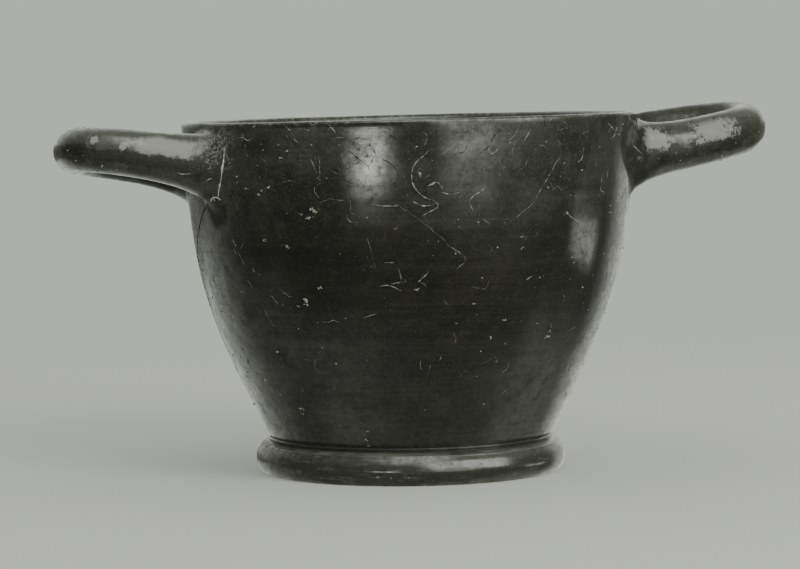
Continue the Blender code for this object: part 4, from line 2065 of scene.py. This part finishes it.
@dataclass(frozen=True)
class Studio:
    """Pale floor, soft light and the camera."""

    swing: float = math.radians(14.5)  # camera to the left of the front
    distance: float = 880.0 * MM
    camera_height: float = 106.0 * MM
    pan: float = -0.0032
    tilt: float = -0.0632
    roll: float = 0.0120
    lens: float = 145.62
    sensor: float = 36.0
    nearest: float = 0.05
    farthest: float = 50.0
    pale: Colour = (0.532, 0.572, 0.508, 1.0)
    floor_size: float = 8.0
    floor_start: float = 0.22  # radius where the floor starts to fade into the background
    floor_end: float = 0.62
    sky: float = 0.70  # strength of the light that falls on it from all round
    room: float = 0.1  # strength of the darkest of the room that the gloss shows
    ceiling: float = 0.8
    table: float = 0.35
    table_right: float = 0.6
    right_wall: float = 1.15
    right_dark: float = 0.085  # how much darker the right of the room is
    horizon: float = 0.8  # share of the left wall's light that is missing at table height
    key_power: float = 7.0
    key_size: float = 0.7
    key_distance: float = 1.25
    key_azimuth: float = 40.0
    key_elevation: float = 33.0
    paper: Colour = (0.655, 0.655, 0.655, 1.0)
    paper_share: float = 0.76  # of the floor by the cup that is lit and not glowing
    paper_glow: float = 1.2
    cards: tuple[Card, ...] = (
        Card("window", 44.0, 22.0, 80.0, 60.0, 8.5, 0.55),
        Card("skylight", 4.0, 57.0, 62.0, 60.0, 6.5, 0.7),
        Card("low_window", -19.0, -8.0, 35.0, 9.0, 26.0, 0.98, 1.6),
        Card("low_door", 31.0, -1.0, 40.0, 26.0, 4.3, 0.7),
        Card("low_wall", -50.0, -4.4, 60.0, 8.0, 1.3, 0.9),
        Card("side_door", 104.0, -12.3, 27.0, 8.5, 3.0, 0.5),
        Card("table_left", -86.0, -30.0, 48.0, 36.0, 0.48, 0.9),
        Card("table_card", -52.0, -47.0, 50.0, 40.0, 0.6, 0.9),
    )

    def set_up(self) -> None:
        """Lays the floor, lights the scene and stands the camera."""
        self.lay_floor()
        self.light_world()
        centre = Vector((AXIS_X, 0.0, (NODE_LOW.z + NODE_HIGH.z) / 2))
        for card in self.cards:
            card.hang(centre, self.swing)
        self.light_key(centre)
        self.camera()

    def lay_floor(self) -> None:
        """Lays a pale floor that fades into the background."""
        half = self.floor_size / 2
        corners = [(-half, -half, 0), (half, -half, 0), (half, half, 0), (-half, half, 0)]
        made = four_sided("floor", corners)
        material, sheet = new_finish("floor_paper")
        radius = sheet.vectors("LENGTH", sheet.add("ShaderNodeTexCoord", out="Object"), out=1)
        share = sheet.eased(radius, self.floor_start, self.floor_end)
        paper = sheet.add("ShaderNodeBsdfDiffuse", None, {"Color": self.paper})
        bounce = sheet.light("Emission", self.pale, self.paper_glow)
        near = sheet.mixed(self.paper_share, bounce, paper)
        mixed = sheet.mixed(share, near, sheet.light("Emission", self.pale, 1.0))
        sheet.add("ShaderNodeOutputMaterial", None, {0: mixed})
        made.data.materials.append(material)
        made.visible_glossy = False

    def light_world(self) -> None:
        """Makes the background pale, and the room that the gloss shows darker in front."""
        world = bpy.data.worlds.new("studio")
        bpy.context.scene.world = world
        world.use_nodes = True
        sheet = Sheet(world.node_tree)
        look = sheet.add("ShaderNodeTexCoord", out="Generated")
        sine, cosine = math.sin(self.swing), math.cos(self.swing)
        behind = sheet.vectors("DOT_PRODUCT", look, (sine, cosine, 0.0), out=1)
        right = sheet.vectors("DOT_PRODUCT", look, (cosine, -sine, 0.0), out=1)
        _, _, up = sheet.split(look)
        on_right = sheet.eased(right, -0.1, 0.1)
        left_pale = sheet.eased(behind, 0.04, 0.98)
        right_pale = sheet.eased(behind, 0.55, 0.85, 0.0, self.right_wall)
        pale = left_pale + (right_pale - left_pale) * on_right
        horizon = sheet.eased(up, -0.18, -0.1) * sheet.eased(up, 0.05, -0.05) * (1 - on_right)
        low = sheet.eased(up, -0.45, -0.9, 0.0, self.table)
        low_right = sheet.eased(behind, -0.3, 0.1, 0.0, self.table_right)
        low_right = sheet.eased(up, -0.3, -0.6) * low_right - self.right_dark
        room = self.room + pale * (1 - horizon * self.horizon) + low + low_right * on_right
        room = room + sheet.eased(up, 0.2, 0.8, 0.0, self.ceiling)
        room = sheet.light("Background", LIGHT_TINT, room)
        soft = sheet.light("Background", LIGHT_TINT, self.sky)
        back = sheet.light("Background", self.pale, 1.0)
        path = sheet.add("ShaderNodeLightPath")
        lit = sheet.mixed(path.other("Is Glossy Ray"), soft, room)
        seen = sheet.mixed(path.other("Is Camera Ray"), lit, back)
        sheet.add("ShaderNodeOutputWorld", None, {0: seen})

    def light_key(self, centre: Vector) -> None:
        """Hangs the soft light that throws the shadow.

        Args:
            centre: Point it shines on.
        """
        data = bpy.data.lights.new("key", "AREA")
        data.shape, data.size = "DISK", self.key_size
        data.energy, data.color = self.key_power, LIGHT_TINT[:3]
        made = link("key", data)
        bearing = math.radians(self.key_azimuth) - self.swing
        out = towards(bearing, math.radians(self.key_elevation))
        made.location = centre + out * self.key_distance
        made.rotation_euler = out.to_track_quat("Z", "Y").to_euler()
        made.visible_glossy = False

    def camera(self) -> None:
        """Stands the camera at its place."""
        data = bpy.data.cameras.new("camera")
        data.lens, data.sensor_width = self.lens, self.sensor
        data.clip_start, data.clip_end = self.nearest, self.farthest
        made = link("camera", data)
        swing = Matrix.Rotation(-self.swing, 4, "Z")
        place = swing @ Vector((0.0, -self.distance, self.camera_height))
        forward = towards(math.pi - self.pan, self.tilt)
        across = Vector((math.cos(self.pan), -math.sin(self.pan), 0.0))
        up = across.cross(forward)
        turned = across * math.cos(self.roll) - up * math.sin(self.roll)
        upright = up * math.cos(self.roll) + across * math.sin(self.roll)
        facing = Matrix((turned, upright, -forward)).transposed().to_4x4()
        shift = Matrix.Translation(place + Vector((AXIS_X, 0.0, 0.0)))
        made.matrix_world = shift @ swing @ facing
        bpy.context.scene.camera = made


# ------------------------------------------------------------------ all of it together


def dressed(piece: Object, finish: Material) -> None:
    """Gives a piece its one finish."""
    piece.data.materials.clear()
    piece.data.materials.append(finish)


def report(made: Object) -> None:
    """Logs a piece's name and size."""
    mesh = made.data
    log.info("%s: %d points, %d faces", made.name, len(mesh.vertices), len(mesh.polygons))


def main() -> None:
    """Builds the cup, what age left on it and its studio."""
    logging.basicConfig(level=logging.INFO, format="%(name)s: %(message)s")
    potter = Cup()
    cup = potter.build()
    dressed(cup, BlackGloss().make())
    skin = BVHTree.FromObject(cup, bpy.context.evaluated_depsgraph_get())
    wall = Wall(potter.bowl, skin, potter.sowing_ground())
    Damage(wall, potter.throwing, BARE_CLAY.make(), CRACK_DIRT.make()).cut(cup)
    report(cup)
    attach(cup, BODY)
    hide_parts(NODE)
    scratches = DrawnLines(
        "old_scratches",
        OLD_SCRATCHES,
        strays=430,
        stray_thickness=(0.05, 0.12),
        seed=5,
        spacing=0.42 * MM,
        sides=5,
    )
    mend = DrawnLines("mend", MEND, spacing=0.3 * MM, sides=8, wobble=0.3 * MM, breaks=0.6)
    plaster = MEND_PLASTER.make()
    left_on_it = (
        (DrawnLines("root_marks", ROOT_MARKS, strays=260), ROOT_CHALK.make()),
        (scratches, OLD_DIRT.make()),
        (mend, plaster),
        (Crumbs("mend_crumbs", MEND_CRUMBS), plaster),
        (Crumbs("crumbs", CRUMBS, density=60000.0), CRUMB_EARTH.make()),
    )
    for maker, finish in left_on_it:
        piece = maker.build(wall, cup)
        dressed(piece, finish)
        report(piece)
        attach(piece, BODY)
    bpy.data.objects.remove(wall.ground, do_unlink=True)
    Studio().set_up()


if __name__ == "__main__":
    main()
